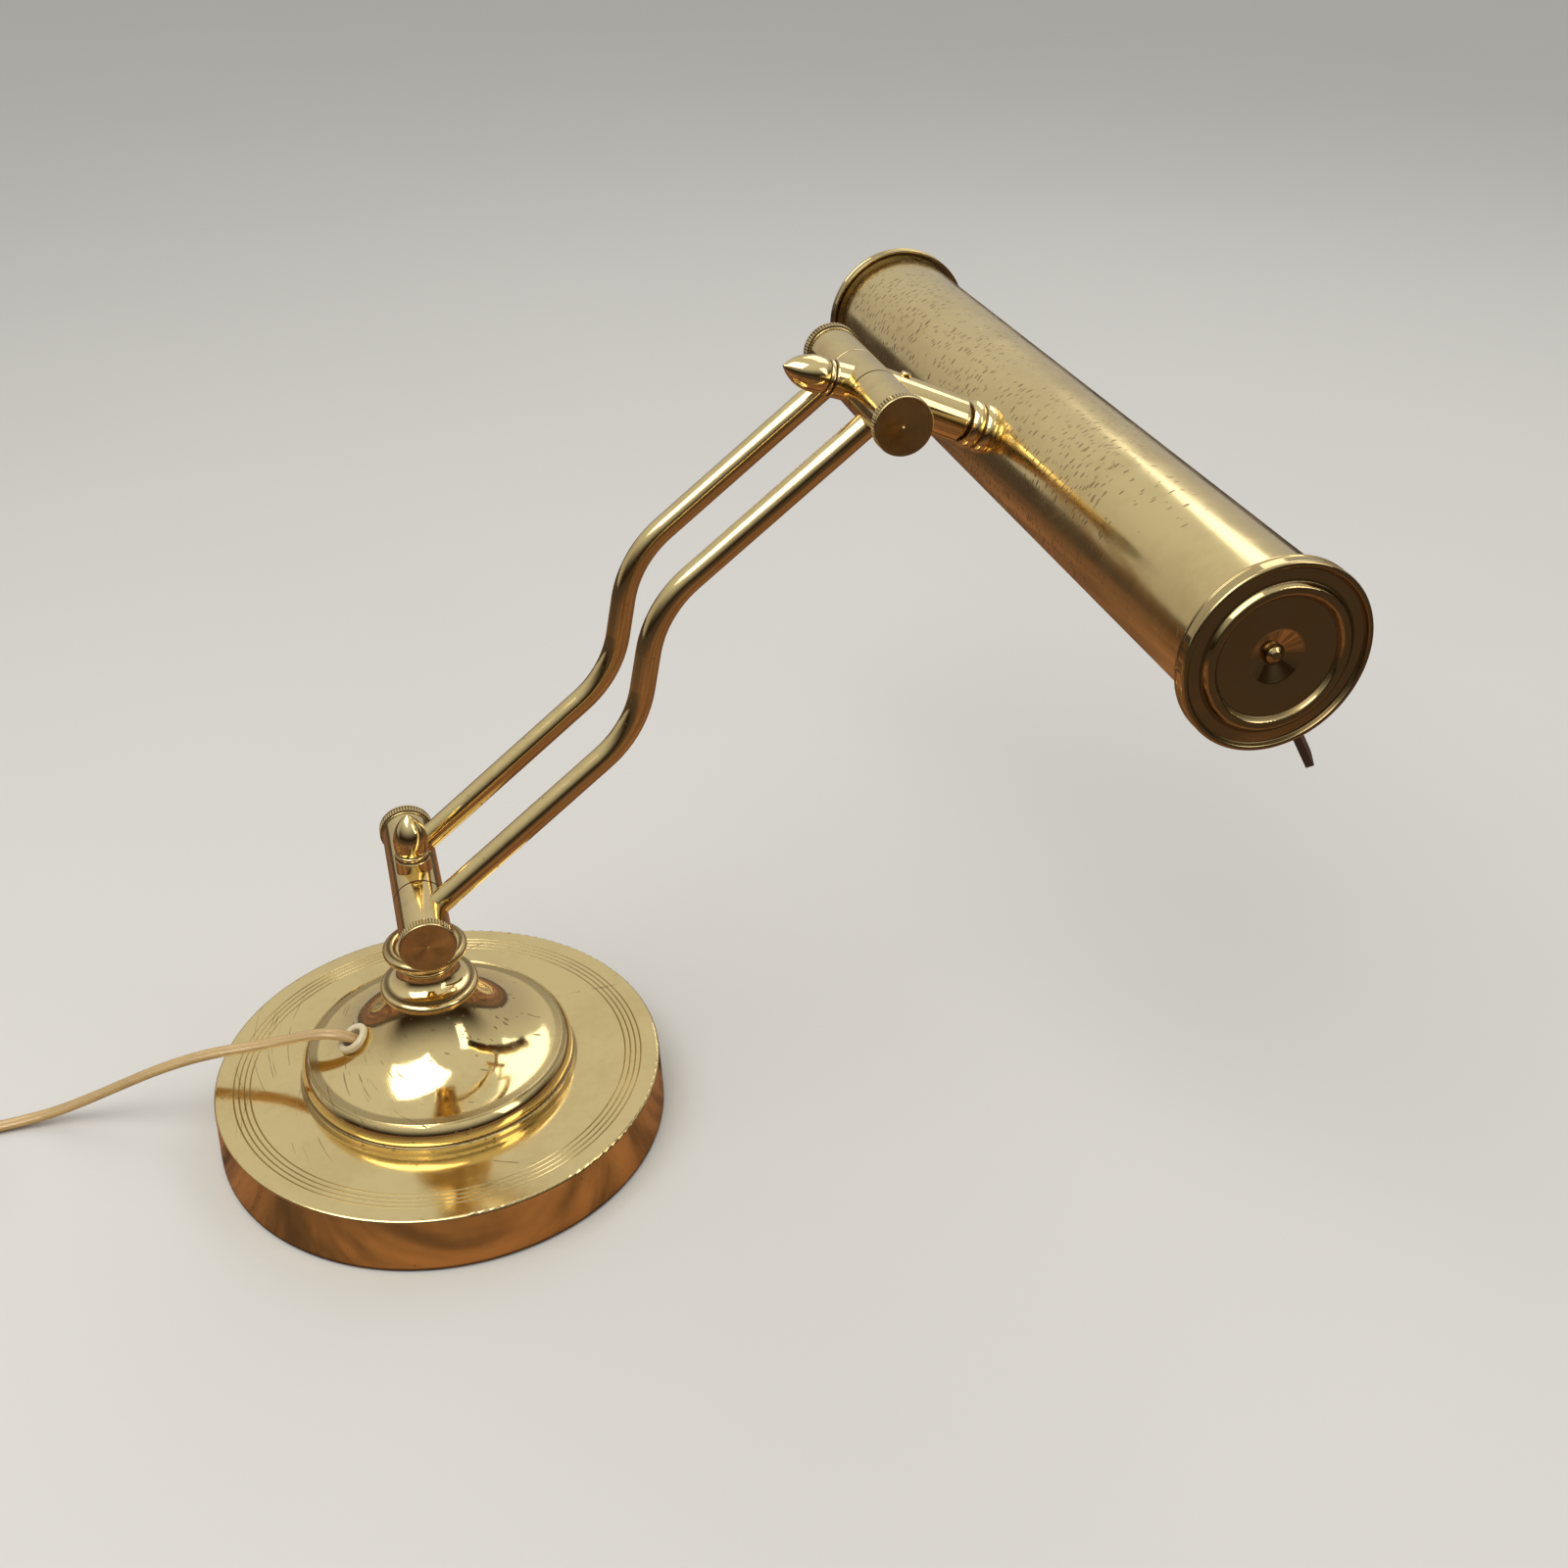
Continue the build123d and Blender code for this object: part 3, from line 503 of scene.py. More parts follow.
def cord_vinyl(name):
    """Clear gold vinyl with the twisted copper strands showing through it."""
    cord = bpy.context.scene.lamp_cord
    material, bench, shader = new_material(name)
    vector = place_coordinates(bench, (0.0, 0.0, 0.0), UPRIGHT)
    uv = bench.add("ShaderNodeUVMap").outputs[0]
    along, around = bench.split(uv)[:2]
    round_strands = bench.maths("MULTIPLY", around, STRANDS_ROUND_CORD)
    lay = bench.maths("ADD", bench.maths("MULTIPLY", along, cord.strand_turns), round_strands)
    wave = bench.maths("SINE", bench.maths("MULTIPLY", lay, 2 * math.pi))
    strand = bench.maths("MULTIPLY_ADD", wave, 0.5, 0.5)
    patch = bench.noise(vector, 260.0, 4.0, 0.6)
    glint = bench.maths("MULTIPLY", bench.ramp(strand, 0.45, 0.95), bench.ramp(patch, 0.35, 0.7, 0.35, 1.0))
    clean = tuple(cord.vinyl_colour) + (1.0,)
    copper = tuple(cord.copper_colour) + (1.0,)
    colour = bench.blend(bench.maths("MULTIPLY", glint, 0.75), clean, copper)
    dull = bench.ramp(bench.noise(vector, 45.0, 5.0, 0.65), 0.5, 0.75)
    colour = bench.blend(bench.maths("MULTIPLY", dull, 0.4), colour, (0.30, 0.20, 0.09, 1.0))
    bench.join(shader.inputs["Base Color"], colour)
    bench.join(shader.inputs["Metallic"], bench.maths("MULTIPLY", glint, 0.45))
    bench.join(shader.inputs["Roughness"], bench.ramp(patch, 0.3, 0.8, 0.24, 0.42))
    bench.join(shader.inputs["Coat Weight"], 0.8)
    bench.join(shader.inputs["Coat Roughness"], 0.12)
    bench.join(shader.inputs["Subsurface Weight"], 0.15)
    bench.join(shader.inputs["Subsurface Radius"], (0.002, 0.0015, 0.0008))
    bench.join(shader.inputs["Normal"], bench.bump(strand, 0.00008, 0.35))
    return material


def both_ways(places):
    """Each place on one side of the middle and on the other."""
    return [side * place for side in (-1, 1) for place in places]


def dress(material, *nodes):
    """Give a finish to CAD nodes."""
    for name in nodes:
        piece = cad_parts[name]
        if not piece.material_slots:
            piece.data.materials.append(material)
        for place in piece.material_slots:
            place.material = material


# --------------------------------------------------------------- properties


class LampStudio(bpy.types.PropertyGroup):
    lens: bpy.props.FloatProperty(
        name="Lens",
        description="Camera lens",
        default=40.09,
        min=10.0,
        unit="CAMERA",
    )
    key_power: bpy.props.FloatProperty(
        name="Key Light",
        description="Power of the main light",
        default=13.0,
        min=0.0,
        unit="POWER",
    )
    fill_power: bpy.props.FloatProperty(
        name="Fill Light",
        description="Power of the fill light",
        default=3.0,
        min=0.0,
        unit="POWER",
    )
    back_power: bpy.props.FloatProperty(
        name="Back Light",
        description="Power of the light behind the lamp",
        default=6.0,
        min=0.0,
        unit="POWER",
    )
    room_strength: bpy.props.FloatProperty(
        name="Room",
        description="Strength of the room's even light",
        default=0.8,
        min=0.0,
    )
    floor_colour: bpy.props.FloatVectorProperty(
        name="Floor",
        description="Colour of the floor",
        default=(0.66, 0.64, 0.61),
        subtype="COLOR",
        min=0.0,
        max=1.0,
    )
    mirrored_floor: bpy.props.FloatVectorProperty(
        name="Mirrored Floor",
        description="Colour of the floor where polished metal mirrors it",
        default=(0.34, 0.155, 0.07),
        subtype="COLOR",
        min=0.0,
        max=1.0,
    )


class LampBrass(bpy.types.PropertyGroup):
    clean_colour: bpy.props.FloatVectorProperty(
        name="Clean Brass",
        description="Colour of clean lacquered brass",
        default=(0.87, 0.68, 0.32),
        subtype="COLOR",
        min=0.0,
        max=1.0,
    )
    aged_colour: bpy.props.FloatVectorProperty(
        name="Aged Brass",
        description="Colour of brass that has darkened under its lacquer",
        default=(0.62, 0.41, 0.16),
        subtype="COLOR",
        min=0.0,
        max=1.0,
    )
    # This colour also paints the shade in grooves, seams and creases, besides their dirt and the age specks.
    grime_and_shade_colour: bpy.props.FloatVectorProperty(
        name="Grime",
        description="Colour of dirt in grooves and of age specks",
        default=(0.10, 0.055, 0.02),
        subtype="COLOR",
        min=0.0,
        max=1.0,
    )
    ageing: bpy.props.FloatProperty(
        name="Ageing",
        description="How far the lacquer has clouded",
        default=1.0,
        min=0.0,
        max=2.0,
        subtype="FACTOR",
    )
    scratches: bpy.props.FloatProperty(
        name="Scratches",
        description="Amount of hairline scratches",
        default=0.5,
        min=0.0,
        max=1.0,
        subtype="FACTOR",
    )


class LampCord(bpy.types.PropertyGroup):
    length: bpy.props.FloatProperty(
        name="Length",
        description="Length of the cord",
        default=1.78,
        min=0.5,
        unit="LENGTH",
    )
    width: bpy.props.FloatProperty(
        name="Width",
        description="Width of the flat cord",
        default=0.0058,
        min=0.002,
        unit="LENGTH",
    )
    thickness: bpy.props.FloatProperty(
        name="Thickness",
        description="Thickness of the flat cord",
        default=0.0030,
        min=0.001,
        unit="LENGTH",
    )
    strand_turns: bpy.props.FloatProperty(
        name="Strand Turns",
        description="Stripes of twisted strand along the cord",
        default=900.0,
        min=0.0,
    )
    vinyl_colour: bpy.props.FloatVectorProperty(
        name="Vinyl",
        description="Colour of the cord's vinyl",
        default=(0.60, 0.41, 0.17),
        subtype="COLOR",
        min=0.0,
        max=1.0,
    )
    copper_colour: bpy.props.FloatVectorProperty(
        name="Copper",
        description="Colour of the strands inside the cord",
        default=(0.30, 0.14, 0.045),
        subtype="COLOR",
        min=0.0,
        max=1.0,
    )


# ------------------------------------------------------------------- studio


def area_light(name, place, size, power, colour):
    """Soft rectangular light that faces the lamp."""
    lamp = bpy.data.lights.new(name, "AREA")
    lamp.shape = "RECTANGLE"
    lamp.size, lamp.size_y = size
    lamp.energy = power
    lamp.color = colour
    holder = bpy.data.objects.new(name, lamp)
    holder.location = place
    holder.rotation_euler = (Vector(LAMP_MIDDLE) - Vector(place)).to_track_quat("-Z", "Y").to_euler()
    bpy.context.scene.collection.objects.link(holder)


class LAMP_OT_add_studio(bpy.types.Operator):
    """Add the floor, the soft lights and the camera"""

    bl_idname = "lamp.add_studio"
    bl_label = "Studio"

    def execute(self, context):
        studio = context.scene.lamp_studio
        mesh = bpy.data.meshes.new("studio_floor")
        form = bmesh.new()
        bmesh.ops.create_grid(form, x_segments=1, y_segments=1, size=FLOOR_HALF_WIDTH)
        form.to_mesh(mesh)
        form.free()
        floor = bpy.data.objects.new("studio_floor", mesh)
        context.scene.collection.objects.link(floor)
        material, bench, shader = new_material("studio floor")
        vector = place_coordinates(bench, (0.0, 0.0, 0.0), UPRIGHT)
        tone = bench.noise(vector, 3.0, 3.0)
        colour = tuple(studio.floor_colour)
        darker = tuple(0.96 * c for c in colour)
        seen = bench.blend(tone, colour + (1.0,), darker + (1.0,))
        mirrored = bench.add("ShaderNodeLightPath").outputs["Is Glossy Ray"]
        # Polished metal sees a warm dark grained table in place of the pale floor.
        x, y = bench.split(vector)[:2]
        grain = bench.noise(bench.combine(bench.maths("MULTIPLY", x, 0.18), y, 0.0), 34.0, 5.0, 0.65)
        knots = bench.noise(bench.combine(bench.maths("MULTIPLY", x, 0.4), y, 0.0), 7.0, 3.0)
        figure = bench.maths("ADD", bench.maths("MULTIPLY", grain, 0.65), bench.maths("MULTIPLY", knots, 0.35))
        streak = bench.ramp(figure, 0.42, 0.60)
        warm = tuple(studio.mirrored_floor)
        table = bench.blend(streak, tuple(0.22 * c for c in warm) + (1.0,), warm + (1.0,))
        away = bench.add("ShaderNodeVectorMath", {0: vector}, operation="LENGTH").outputs["Value"]
        table = bench.blend(bench.ramp(away, 0.35, 0.85), table, tuple(0.12 * c for c in warm) + (1.0,))
        bench.join(shader.inputs["Base Color"], bench.blend(mirrored, seen, table))
        bench.join(shader.inputs["Roughness"], 0.85)
        mesh.materials.append(material)
        for name, place, size, power, colour in (
            ("key_light", (-0.50, -0.40, 1.45), (1.3, 1.0), studio.key_power, (1.0, 0.985, 0.95)),
            ("fill_light", (1.25, -1.10, 1.00), (0.5, 0.9), studio.fill_power, (1.0, 0.96, 0.90)),
            ("back_light", (0.95, 0.75, 1.45), (1.2, 1.0), studio.back_power, (1.0, 1.0, 1.0)),
        ):
            area_light(name, place, size, power, colour)
        self.add_world(context, studio)
        self.add_camera(context, studio)
        context.scene.view_settings.view_transform = "Standard"
        return {"FINISHED"}

    def add_world(self, context, studio):
        """Pale room above and behind the lamp, and a dim one in front of it."""
        world = bpy.data.worlds.new("studio_world")
        world.use_nodes = True
        world.node_tree.nodes.clear()
        bench = Bench(world.node_tree)
        way = bench.split(bench.add("ShaderNodeTexCoord").outputs["Generated"])
        behind = bench.ramp(way[1], -0.25, 0.45)
        low = bench.blend(behind, (0.035, 0.022, 0.014, 1), (0.55, 0.53, 0.50, 1))
        colour = bench.blend(bench.ramp(way[2], 0.05, 0.75), low, (0.80, 0.81, 0.79, 1))
        background = bench.add("ShaderNodeBackground", {"Color": colour, "Strength": studio.room_strength})
        output = bench.add("ShaderNodeOutputWorld")
        bench.join(output.inputs["Surface"], background.outputs[0])
        context.scene.world = world

    def add_camera(self, context, studio):
        lens = bpy.data.cameras.new("camera")
        lens.lens = studio.lens
        lens.sensor_width = 36.0
        camera = bpy.data.objects.new("camera", lens)
        camera.location = CAMERA_PLACE
        camera.rotation_euler = CAMERA_TURN
        context.scene.collection.objects.link(camera)
        context.scene.camera = camera


# --------------------------------------------------------------- cord pieces

# The profile is drawn this much larger and each point of the cord scales it back down.
PROFILE_SCALE = 0.003
CORD_LEAD = [
    (-0.0315, 0.0000, 0.0444),
    (-0.0368, 0.0002, 0.0480),
    (-0.0440, 0.0018, 0.0496),
    (-0.0530, 0.0058, 0.0470),
    (-0.0635, 0.0106, 0.0426),
    (-0.0760, 0.0142, 0.0396),
    (-0.0900, 0.0170, 0.0376),
    (-0.1035, 0.0198, 0.0340),
    (-0.1170, 0.0232, 0.0284),
    (-0.1310, 0.0276, 0.0208),
    (-0.1460, 0.0324, 0.0124),
    (-0.1620, 0.0362, 0.0052),
    (-0.1790, 0.0372, 0.0024),
    (-0.1970, 0.0364, 0.0022),
    (-0.2170, 0.0360, 0.0024),
]
CORD_TAIL = [
    (-0.2674, 0.0020, 0.0108),
    (-0.2680, -0.0090, 0.0106),
    (-0.2686, -0.0200, 0.0092),
    (-0.2680, -0.0310, 0.0068),
    (-0.2680, -0.0420, 0.0065),
]
COIL_CENTRE = Vector((-0.232, 0.0, 0.0))
COIL_INNER = 0.0302
COIL_OUTER = 0.0360
COIL_FLOOR = 0.0009
COIL_STEP = 15
COIL_DEGREES = 2610
# Where the winding changes column or layer: (from degrees, to degrees, column, layer) from 0 = outer, lowest.
COIL_MOVES = (
    (300, 360, 1, 0),
    (630, 660, 1, 1),
    (930, 990, 0, 1),
    (1260, 1290, 0, 2),
    (1560, 1620, 1, 2),
    (1890, 1920, 1, 3),
    (2190, 2250, 0, 3),
)


def coil_points(thickness):
    """Centre points of the coiled cord, wound outwards and upwards in two columns."""
    swell = 1.0 / math.cos(math.radians(COIL_STEP / 2))
    points = []
    for degrees in range(0, COIL_DEGREES, COIL_STEP):
        column, layer = 0.0, 0.0
        for start, end, new_column, new_layer in COIL_MOVES:
            share = min(1.0, max(0.0, (degrees - start) / (end - start)))
            share = share * share * (3 - 2 * share)
            column += (new_column - column) * share
            layer += (new_layer - layer) * share
        radius = swell * (COIL_OUTER + (COIL_INNER - COIL_OUTER) * column)
        angle = math.radians(90 + degrees)
        height = COIL_FLOOR + thickness * (layer + 0.5)
        points.append(COIL_CENTRE + Vector((radius * math.cos(angle), radius * math.sin(angle), height)))
    return points


def flat_cord_profile(name, width, thickness):
    """Outline of a flat cord: two round cores and the web between them."""
    core = thickness / 2
    offset = width / 2 - core
    waist = 0.62 * core
    outline = bpy.data.curves.new(name, "CURVE")
    outline.dimensions = "2D"
    points = []
    for side in (1, -1):
        for step in range(11):
            angle = math.radians(-125 + 25 * step)
            points.append((side * (offset + core * math.cos(angle)), side * core * math.sin(angle)))
        points.append((0.0, side * waist))
    spline = outline.splines.new("NURBS")
    spline.points.add(len(points) - 1)
    for point, (x, y) in zip(spline.points, points):
        point.co = (x / PROFILE_SCALE, y / PROFILE_SCALE, 0.0, 1.0)
    spline.use_cyclic_u = True
    spline.order_u = 3
    spline.resolution_u = 2
    piece = bpy.data.objects.new(name, outline)
    bpy.context.scene.collection.objects.link(piece)
    return piece


class LAMP_OT_add_cord(bpy.types.Operator):
    """Add the flat two-core cord, from its bushing to its coil and its plug"""

    bl_idname = "lamp.add_cord"
    bl_label = "Power Cord"

    def execute(self, context):
        cord = context.scene.lamp_cord
        route = [Vector(point) for point in CORD_LEAD]
        route += coil_points(cord.thickness)
        route += [Vector(point) for point in CORD_TAIL]
        curve = bpy.data.curves.new("power_cord_flex", "CURVE")
        curve.dimensions = "3D"
        curve.twist_mode = "Z_UP"
        curve.resolution_u = 8
        spline = curve.splines.new("NURBS")
        spline.points.add(len(route) - 1)
        for point, place in zip(spline.points, route):
            point.co = (*place, 1.0)
            point.radius = PROFILE_SCALE
        spline.order_u = 3
        spline.use_endpoint_u = True
        profile = flat_cord_profile("power_cord_profile", cord.width, cord.thickness)
        curve.bevel_mode = "OBJECT"
        curve.bevel_object = profile
        curve.use_fill_caps = True
        flex = bpy.data.objects.new("power_cord_flex", curve)
        context.scene.collection.objects.link(flex)
        curve.materials.append(cord_vinyl("cord vinyl"))
        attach(flex, "base")
        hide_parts("power_cord", "cord_coil", "cord_tail")
        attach(profile, "base")
        profile.hide_render = True
        plug_vinyl = moulded("plug vinyl", (0.55, 0.44, 0.24), (0.40, 0.31, 0.16), 0.0012, 0.38, coat=0.2)
        tie_vinyl = moulded("tie", (0.016, 0.016, 0.017), (0.03, 0.03, 0.03), 0.0008, 0.5)
        blade_brass = plain_metal("plug blades", (0.80, 0.64, 0.34), (0.5, 0.36, 0.16))
        dress(plug_vinyl, "plug_body")
        dress(tie_vinyl, "cord_tie")
        dress(blade_brass, "plug_blades")
        return {"FINISHED"}


# ----------------------------------------------------------------- finishes


class LAMP_OT_finish_base(bpy.types.Operator):
    """Give the base its spun brass, felt and iron"""

    bl_idname = "lamp.finish_base"
    bl_label = "Base"

    def execute(self, context):
        # Dark lines in the engraved rings: partly dirt, partly painted shade.
        grooves = [("Radius", radius, 0.42 * MM, 0.40) for radius in BASE_RINGS]
        shell = brass(
            "base shell brass",
            shine=(0.09, 0.17),
            ageing=0.22,
            cloud=0.035,
            lines=0.00035,
            line_depth=0.000010,
            # Dark band 1 mm up at the foot: tarnish and painted shadow where the base meets the table. Dark
            # line round the dish's edge: partly dirt, partly painted shade.
            grime_and_shade=grooves + [("Height", 1.0 * MM, 1.4 * MM, 0.8), ("Radius", 57.4 * MM, 0.9 * MM, 0.6)],
            specks=(0.0022, 0.0018, 0.10, 0.05, -2.0, -1.0),
        )
        dish = brass(
            "base dish brass",
            shine=(0.06, 0.13),
            ageing=0.30,
            cloud=0.03,
            lines=0.0006,
            line_depth=0.000006,
            # Dark lines at the dish's steps and where it meets the collar: partly dirt, partly painted shade.
            grime_and_shade=[
                ("Height", 29.3 * MM, 0.5 * MM, 0.8),
                ("Height", 38.1 * MM, 0.35 * MM, 0.5),
                ("Height", 65.0 * MM, 1.2 * MM, 0.5),
            ],
            specks=(0.0030, 0.0024, 0.22, 0.05, -2.0, -1.0),
        )
        collar = brass(
            "collar brass",
            shine=(0.07, 0.15),
            ageing=0.35,
            cloud=0.012,
            lines=0.00035,
            line_depth=0.000012,
            # Dark lines in the collar's creases and seam: partly dirt, partly painted shade.
            grime_and_shade=[
                ("Height", 65.2 * MM, 0.8 * MM, 0.8),
                ("Height", 70.6 * MM, 0.6 * MM, 0.8),
                ("Height", 78.2 * MM, 0.6 * MM, 0.6),
                ("Height", 80.9 * MM, 0.5 * MM, 0.9),
            ],
        )
        dress(shell, "base_shell")
        dress(dish, "base_dish")
        dress(collar, "base_collar")
        ivory = moulded(
            "ivory bushing",
            clean=(0.76, 0.66, 0.44),
            handled=(0.60, 0.46, 0.26),
            grain=0.0015,
            gloss=0.26,
            coat=0.4,
            clear=0.2,
        )
        dress(ivory, "cord_bushing")
        dress(felt(), "felt_pad")
        dress(cast_iron(), "base_weight")
        dress(plain_metal("spring steel", (0.30, 0.31, 0.34), (0.14, 0.10, 0.08)), "spring_washer")
        return {"FINISHED"}


class LAMP_OT_finish_knuckles(bpy.types.Operator):
    """Give both knuckles, their thumb nuts, finials and the cup their brass"""

    bl_idname = "lamp.finish_knuckles"
    bl_label = "Knuckles"

    def execute(self, context):
        cup = brass(
            "cup brass",
            shine=(0.07, 0.15),
            ageing=0.35,
            cloud=0.012,
            lines=0.00035,
            line_depth=0.000012,
            # Dark lines at the cup's seam and steps: partly dirt, partly painted shade.
            grime_and_shade=[
                ("Height", 81.1 * MM, 0.5 * MM, 0.9),
                ("Height", 88.6 * MM, 0.5 * MM, 0.5),
                ("Height", 91.0 * MM, 0.7 * MM, 0.5),
            ],
        )
        dress(cup, "turret_cup")
        steel = plain_metal("zinc plated steel", (0.62, 0.62, 0.60), (0.40, 0.36, 0.30))
        dress(steel, "turret_nipple", "turret_nut", "lower_axle", "upper_axle", "stem_nipple")
        fibre = moulded("fibre washer", (0.20, 0.06, 0.03), (0.10, 0.04, 0.03), 0.0006, 0.7)
        for level, pivot, tip in (("lower", LOWER_PIVOT, UPRIGHT), ("upper", UPPER_PIVOT, ALONG_UPPER_FINIAL)):
            barrel = brass(
                f"{level} knuckle brass",
                origin=pivot,
                turn=CROSSWISE,
                shine=(0.09, 0.19),
                ageing=0.40,
                cloud=0.014,
                lines=0.00030,
                line_depth=0.000014,
                # Dark lines at the knuckle's seams: partly dirt, partly painted shade.
                grime_and_shade=[("Height", place, 0.45 * MM, 0.85) for place in both_ways(BARREL_SEAMS)],
            )
            cap = brass(
                f"{level} thumb nut brass",
                origin=pivot,
                turn=CROSSWISE,
                shine=(0.08, 0.18),
                ageing=0.40,
                cloud=0.008,
                lines=0.00025,
                line_depth=0.000014,
                # Dark lines in the knurling and at its ends: partly dirt, partly painted shade.
                grime_and_shade=[("Radius", 10.62 * MM, 0.22 * MM, 0.75)]
                + [("Height", place, 0.3 * MM, 0.8) for place in both_ways(THUMB_NUT_EDGES)],
            )
            finial = brass(
                f"{level} finial brass",
                origin=pivot,
                turn=tip,
                shine=(0.05, 0.11),
                ageing=0.30,
                cloud=0.010,
                lines=0.00030,
                line_depth=0.000008,
                # Dark lines in the finial's grooves: partly dirt, partly painted shade.
                grime_and_shade=[("Height", place, 0.45 * MM, 0.85) for place in FINIAL_SEAMS],
            )
            dress(barrel, f"{level}_knuckle_block", f"{level}_sleeve_near", f"{level}_sleeve_far")
            dress(cap, f"{level}_cap_near", f"{level}_cap_far")
            dress(finial, f"{level}_finial")
            dress(fibre, f"{level}_washer_near", f"{level}_washer_far")
        return {"FINISHED"}


class LAMP_OT_finish_arms(bpy.types.Operator):
    """Give the twin arm tubes their polished brass"""

    bl_idname = "lamp.finish_arms"
    bl_label = "Arms"

    def execute(self, context):
        slope = math.radians(90) - math.atan2(UPPER_PIVOT.z - LOWER_PIVOT.z, UPPER_PIVOT.x)
        for side in ("near", "far"):
            tube = brass(
                f"{side} arm brass",
                origin=(0.0, ARM_OFFSET if side == "far" else -ARM_OFFSET, LOWER_PIVOT.z),
                turn=(0.0, slope, 0.0),
                shine=(0.07, 0.15),
                ageing=0.35,
                cloud=0.02,
                lines=0.0009,
                line_depth=0.000006,
                specks=(0.0022, 0.0018, 0.08, 0.04, -2.0, -1.0),
            )
            dress(tube, f"arm_tube_{side}")
        dress(cord_vinyl("arm wire vinyl"), "arm_wire")
        return {"FINISHED"}


class LAMP_OT_finish_head(bpy.types.Operator):
    """Give the stem and the shade's neck their polished brass"""

    bl_idname = "lamp.finish_head"
    bl_label = "Stem"

    def execute(self, context):
        stem = brass(
            "stem brass",
            origin=UPPER_PIVOT,
            turn=ALONG_STEM,
            shine=(0.05, 0.11),
            ageing=0.30,
            cloud=0.012,
            lines=0.00035,
            line_depth=0.000008,
            # Dark rings where the barrel meets the neck and the neck meets the shade: partly dirt, partly
            # painted shade.
            grime_and_shade=[
                ("Height", -40.4 * MM, 0.6 * MM, 0.9),
                ("Height", -48.5 * MM, 0.6 * MM, 0.8),
                ("Height", -42.4 * MM, 0.5 * MM, 0.7),
            ],
        )
        dress(stem, "stem_barrel", "shade_neck", "stem_set_screw")
        return {"FINISHED"}


class LAMP_OT_finish_shade(bpy.types.Operator):
    """Give the shade's trough its satin brass and its end caps their mirror polish"""

    bl_idname = "lamp.finish_shade"
    bl_label = "Shade"

    def execute(self, context):
        tube = brass(
            "shade brass",
            origin=SHADE_CENTRE,
            turn=(math.radians(-90), 0.0, 0.0),
            shine=(0.14, 0.24),
            ageing=0.30,
            cloud=0.05,
            lines=0.00040,
            line_depth=0.000010,
            specks=(0.0052, 0.0020, 1.0, 0.045, -0.150, -0.060),
            speck_depth=0.65,
        )
        dress(tube, "shade_tube")
        for side, way in (("near", -1), ("far", 1)):
            cap = brass(
                f"{side} end cap brass",
                origin=SHADE_CENTRE,
                turn=CROSSWISE,
                shine=(0.04, 0.09),
                ageing=0.45,
                cloud=0.02,
                lines=0.00030,
                line_depth=0.000005,
                # Painted shade: the caps' clean colour 30% darker, for the dark room their mirror faces see.
                painted_shade_share=0.30,
                # Dark rings at the ridge, the rim and round the screw's dimple: partly dirt, partly painted
                # shade.
                grime_and_shade=[
                    ("Radius", 20.6 * MM, 0.8 * MM, 0.7),
                    ("Radius", 25.4 * MM, 0.8 * MM, 0.7),
                    ("Radius", 29.8 * MM, 0.7 * MM, 0.7),
                    ("Radius", 3.2 * MM, 0.6 * MM, 0.8),
                ],
            )
            dress(cap, f"shade_cap_{side}")
            dress(cap, f"cap_screw_{side}")
        steel = plain_metal("strap steel", (0.60, 0.60, 0.58), (0.38, 0.34, 0.28))
        dress(steel, "shade_strap_near", "shade_strap_far", "shade_nipple", "shade_lock_nut")
        return {"FINISHED"}


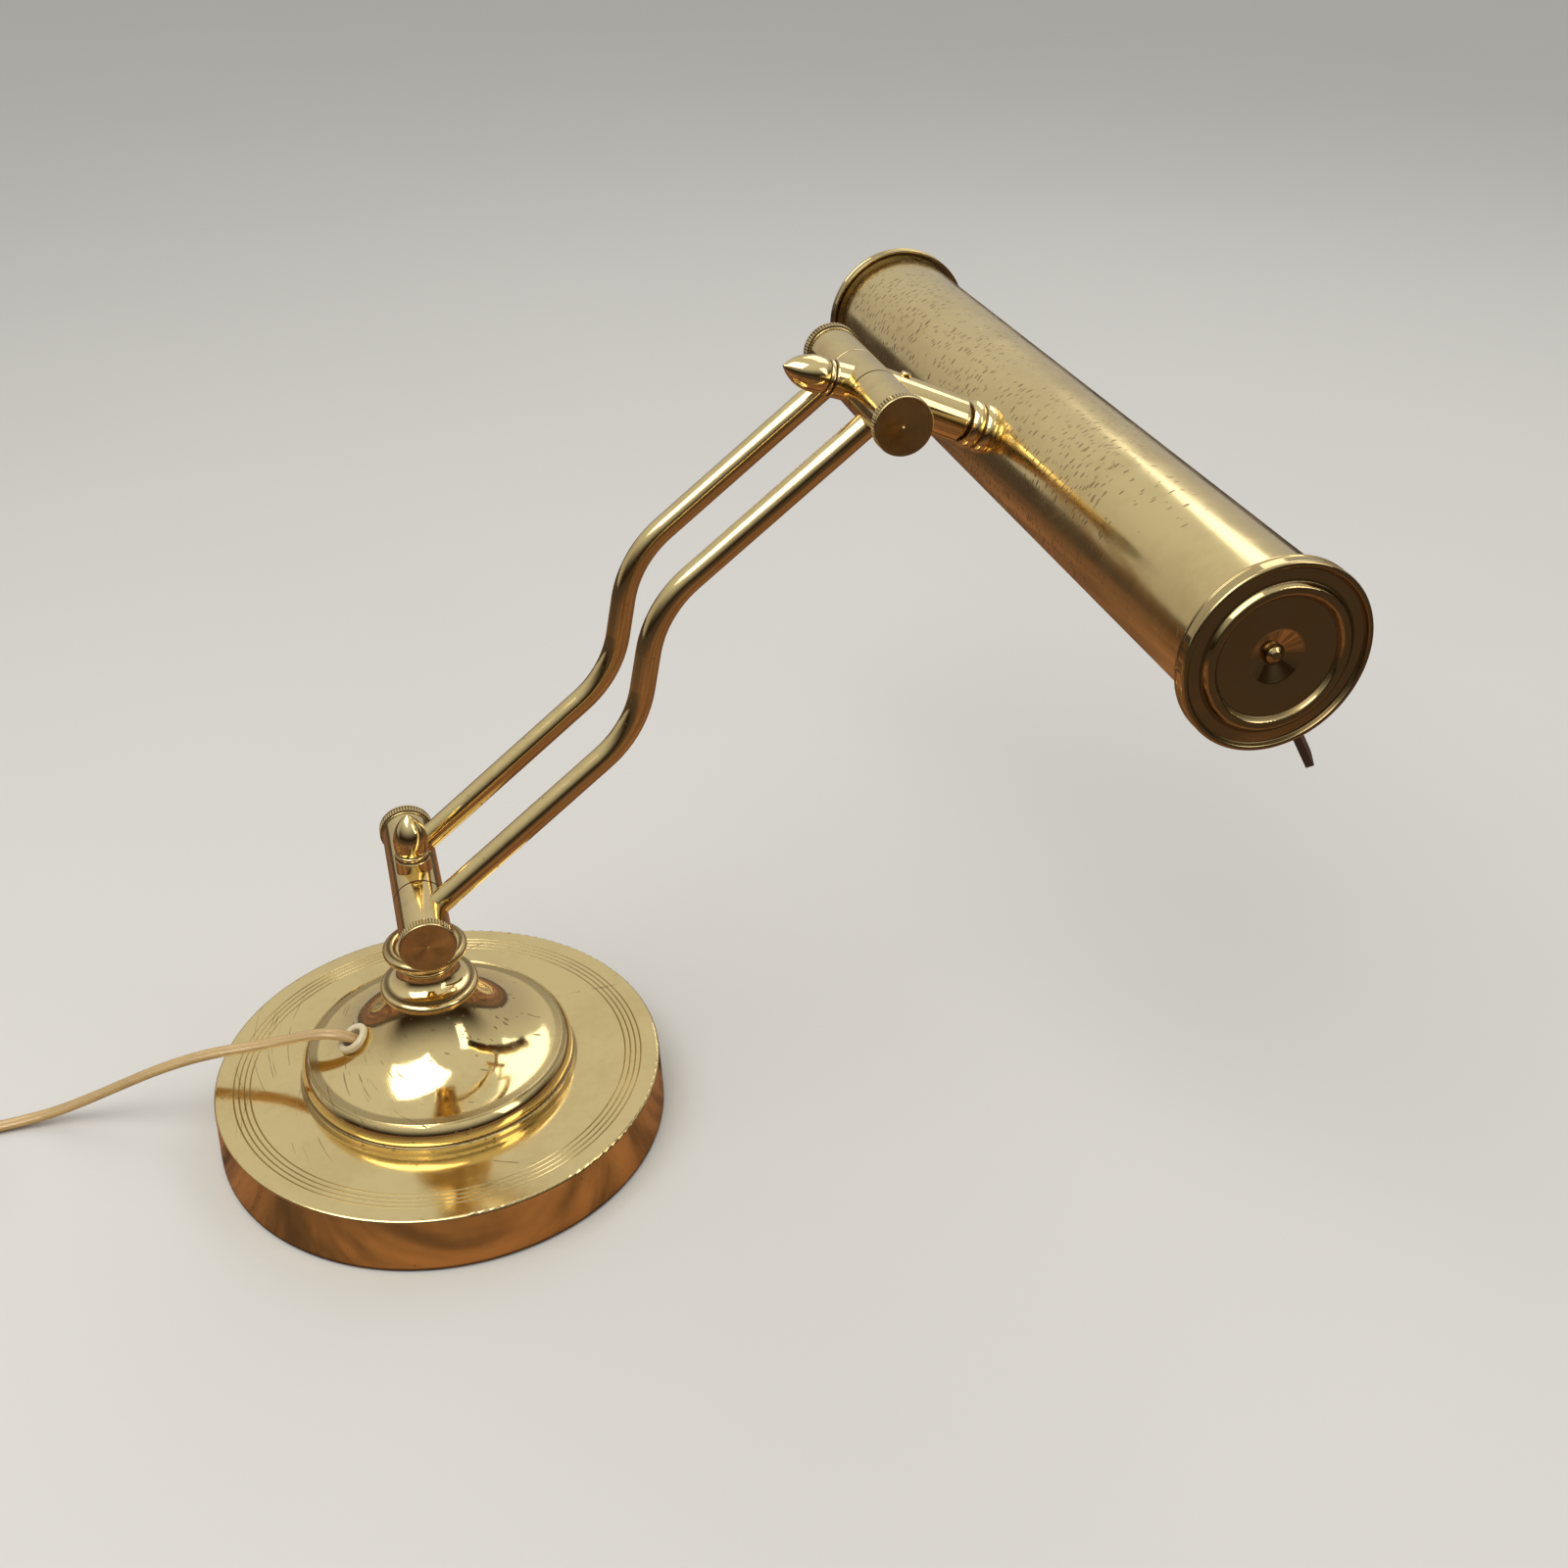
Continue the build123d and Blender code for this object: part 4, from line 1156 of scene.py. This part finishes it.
class LAMP_OT_finish_lamp_holder(bpy.types.Operator):
    """Finish the socket, its leads, the bulb and the switch key"""

    bl_idname = "lamp.finish_lamp_holder"
    bl_label = "Socket and Bulb"

    def execute(self, context):
        phenolic = moulded("phenolic socket", (0.014, 0.012, 0.011), (0.03, 0.025, 0.02), 0.001, 0.3, coat=0.3)
        key_plastic = moulded(
            "switch key plastic", (0.030, 0.018, 0.013), (0.055, 0.033, 0.022), 0.0012, 0.28, coat=0.5
        )
        dress(phenolic, "lamp_socket")
        dress(plain_metal("socket liner", (0.72, 0.42, 0.18), (0.4, 0.2, 0.08)), "socket_liner")
        dress(plain_metal("bulb base nickel", (0.66, 0.64, 0.58), (0.42, 0.38, 0.30)), "bulb_base")
        dress(plain_metal("filament wire", (0.40, 0.40, 0.42), (0.25, 0.24, 0.24)), "bulb_filament")
        dress(bulb_glass(), "bulb_glass")
        dress(key_plastic, "switch_key")
        dress(cord_vinyl("lead vinyl"), "socket_leads")
        return {"FINISHED"}


# -------------------------------------------------------------------- panel


class LAMP_PT_panel(bpy.types.Panel):
    """Lists the lamp's pieces and settings"""

    bl_label = "Desk Lamp"
    bl_idname = "LAMP_PT_panel"
    bl_space_type = "VIEW_3D"
    bl_region_type = "UI"
    bl_category = "Desk Lamp"

    def draw(self, context):
        for label, settings in (
            ("Studio", context.scene.lamp_studio),
            ("Brass", context.scene.lamp_brass),
            ("Cord", context.scene.lamp_cord),
        ):
            box = self.layout.box()
            box.label(text=label)
            for name in settings.__annotations__:
                box.prop(settings, name)
        for operator in OPERATORS:
            self.layout.operator(operator.bl_idname)


OPERATORS = (
    LAMP_OT_add_studio,
    LAMP_OT_add_cord,
    LAMP_OT_finish_base,
    LAMP_OT_finish_knuckles,
    LAMP_OT_finish_arms,
    LAMP_OT_finish_head,
    LAMP_OT_finish_shade,
    LAMP_OT_finish_lamp_holder,
)
SETTINGS = {"lamp_studio": LampStudio, "lamp_brass": LampBrass, "lamp_cord": LampCord}


def register():
    for kind in (*SETTINGS.values(), *OPERATORS, LAMP_PT_panel):
        bpy.utils.register_class(kind)
    for name, kind in SETTINGS.items():
        setattr(bpy.types.Scene, name, bpy.props.PointerProperty(type=kind))


def unregister():
    for name in SETTINGS:
        delattr(bpy.types.Scene, name)
    for kind in (LAMP_PT_panel, *reversed(OPERATORS), *SETTINGS.values()):
        bpy.utils.unregister_class(kind)


def main():
    """Build the whole lamp."""
    register()
    for maker in GROUP_MAKERS:
        maker()
    for operator in OPERATORS:
        getattr(bpy.ops.lamp, operator.bl_idname.split(".")[1])()


if __name__ == "__main__":
    main()
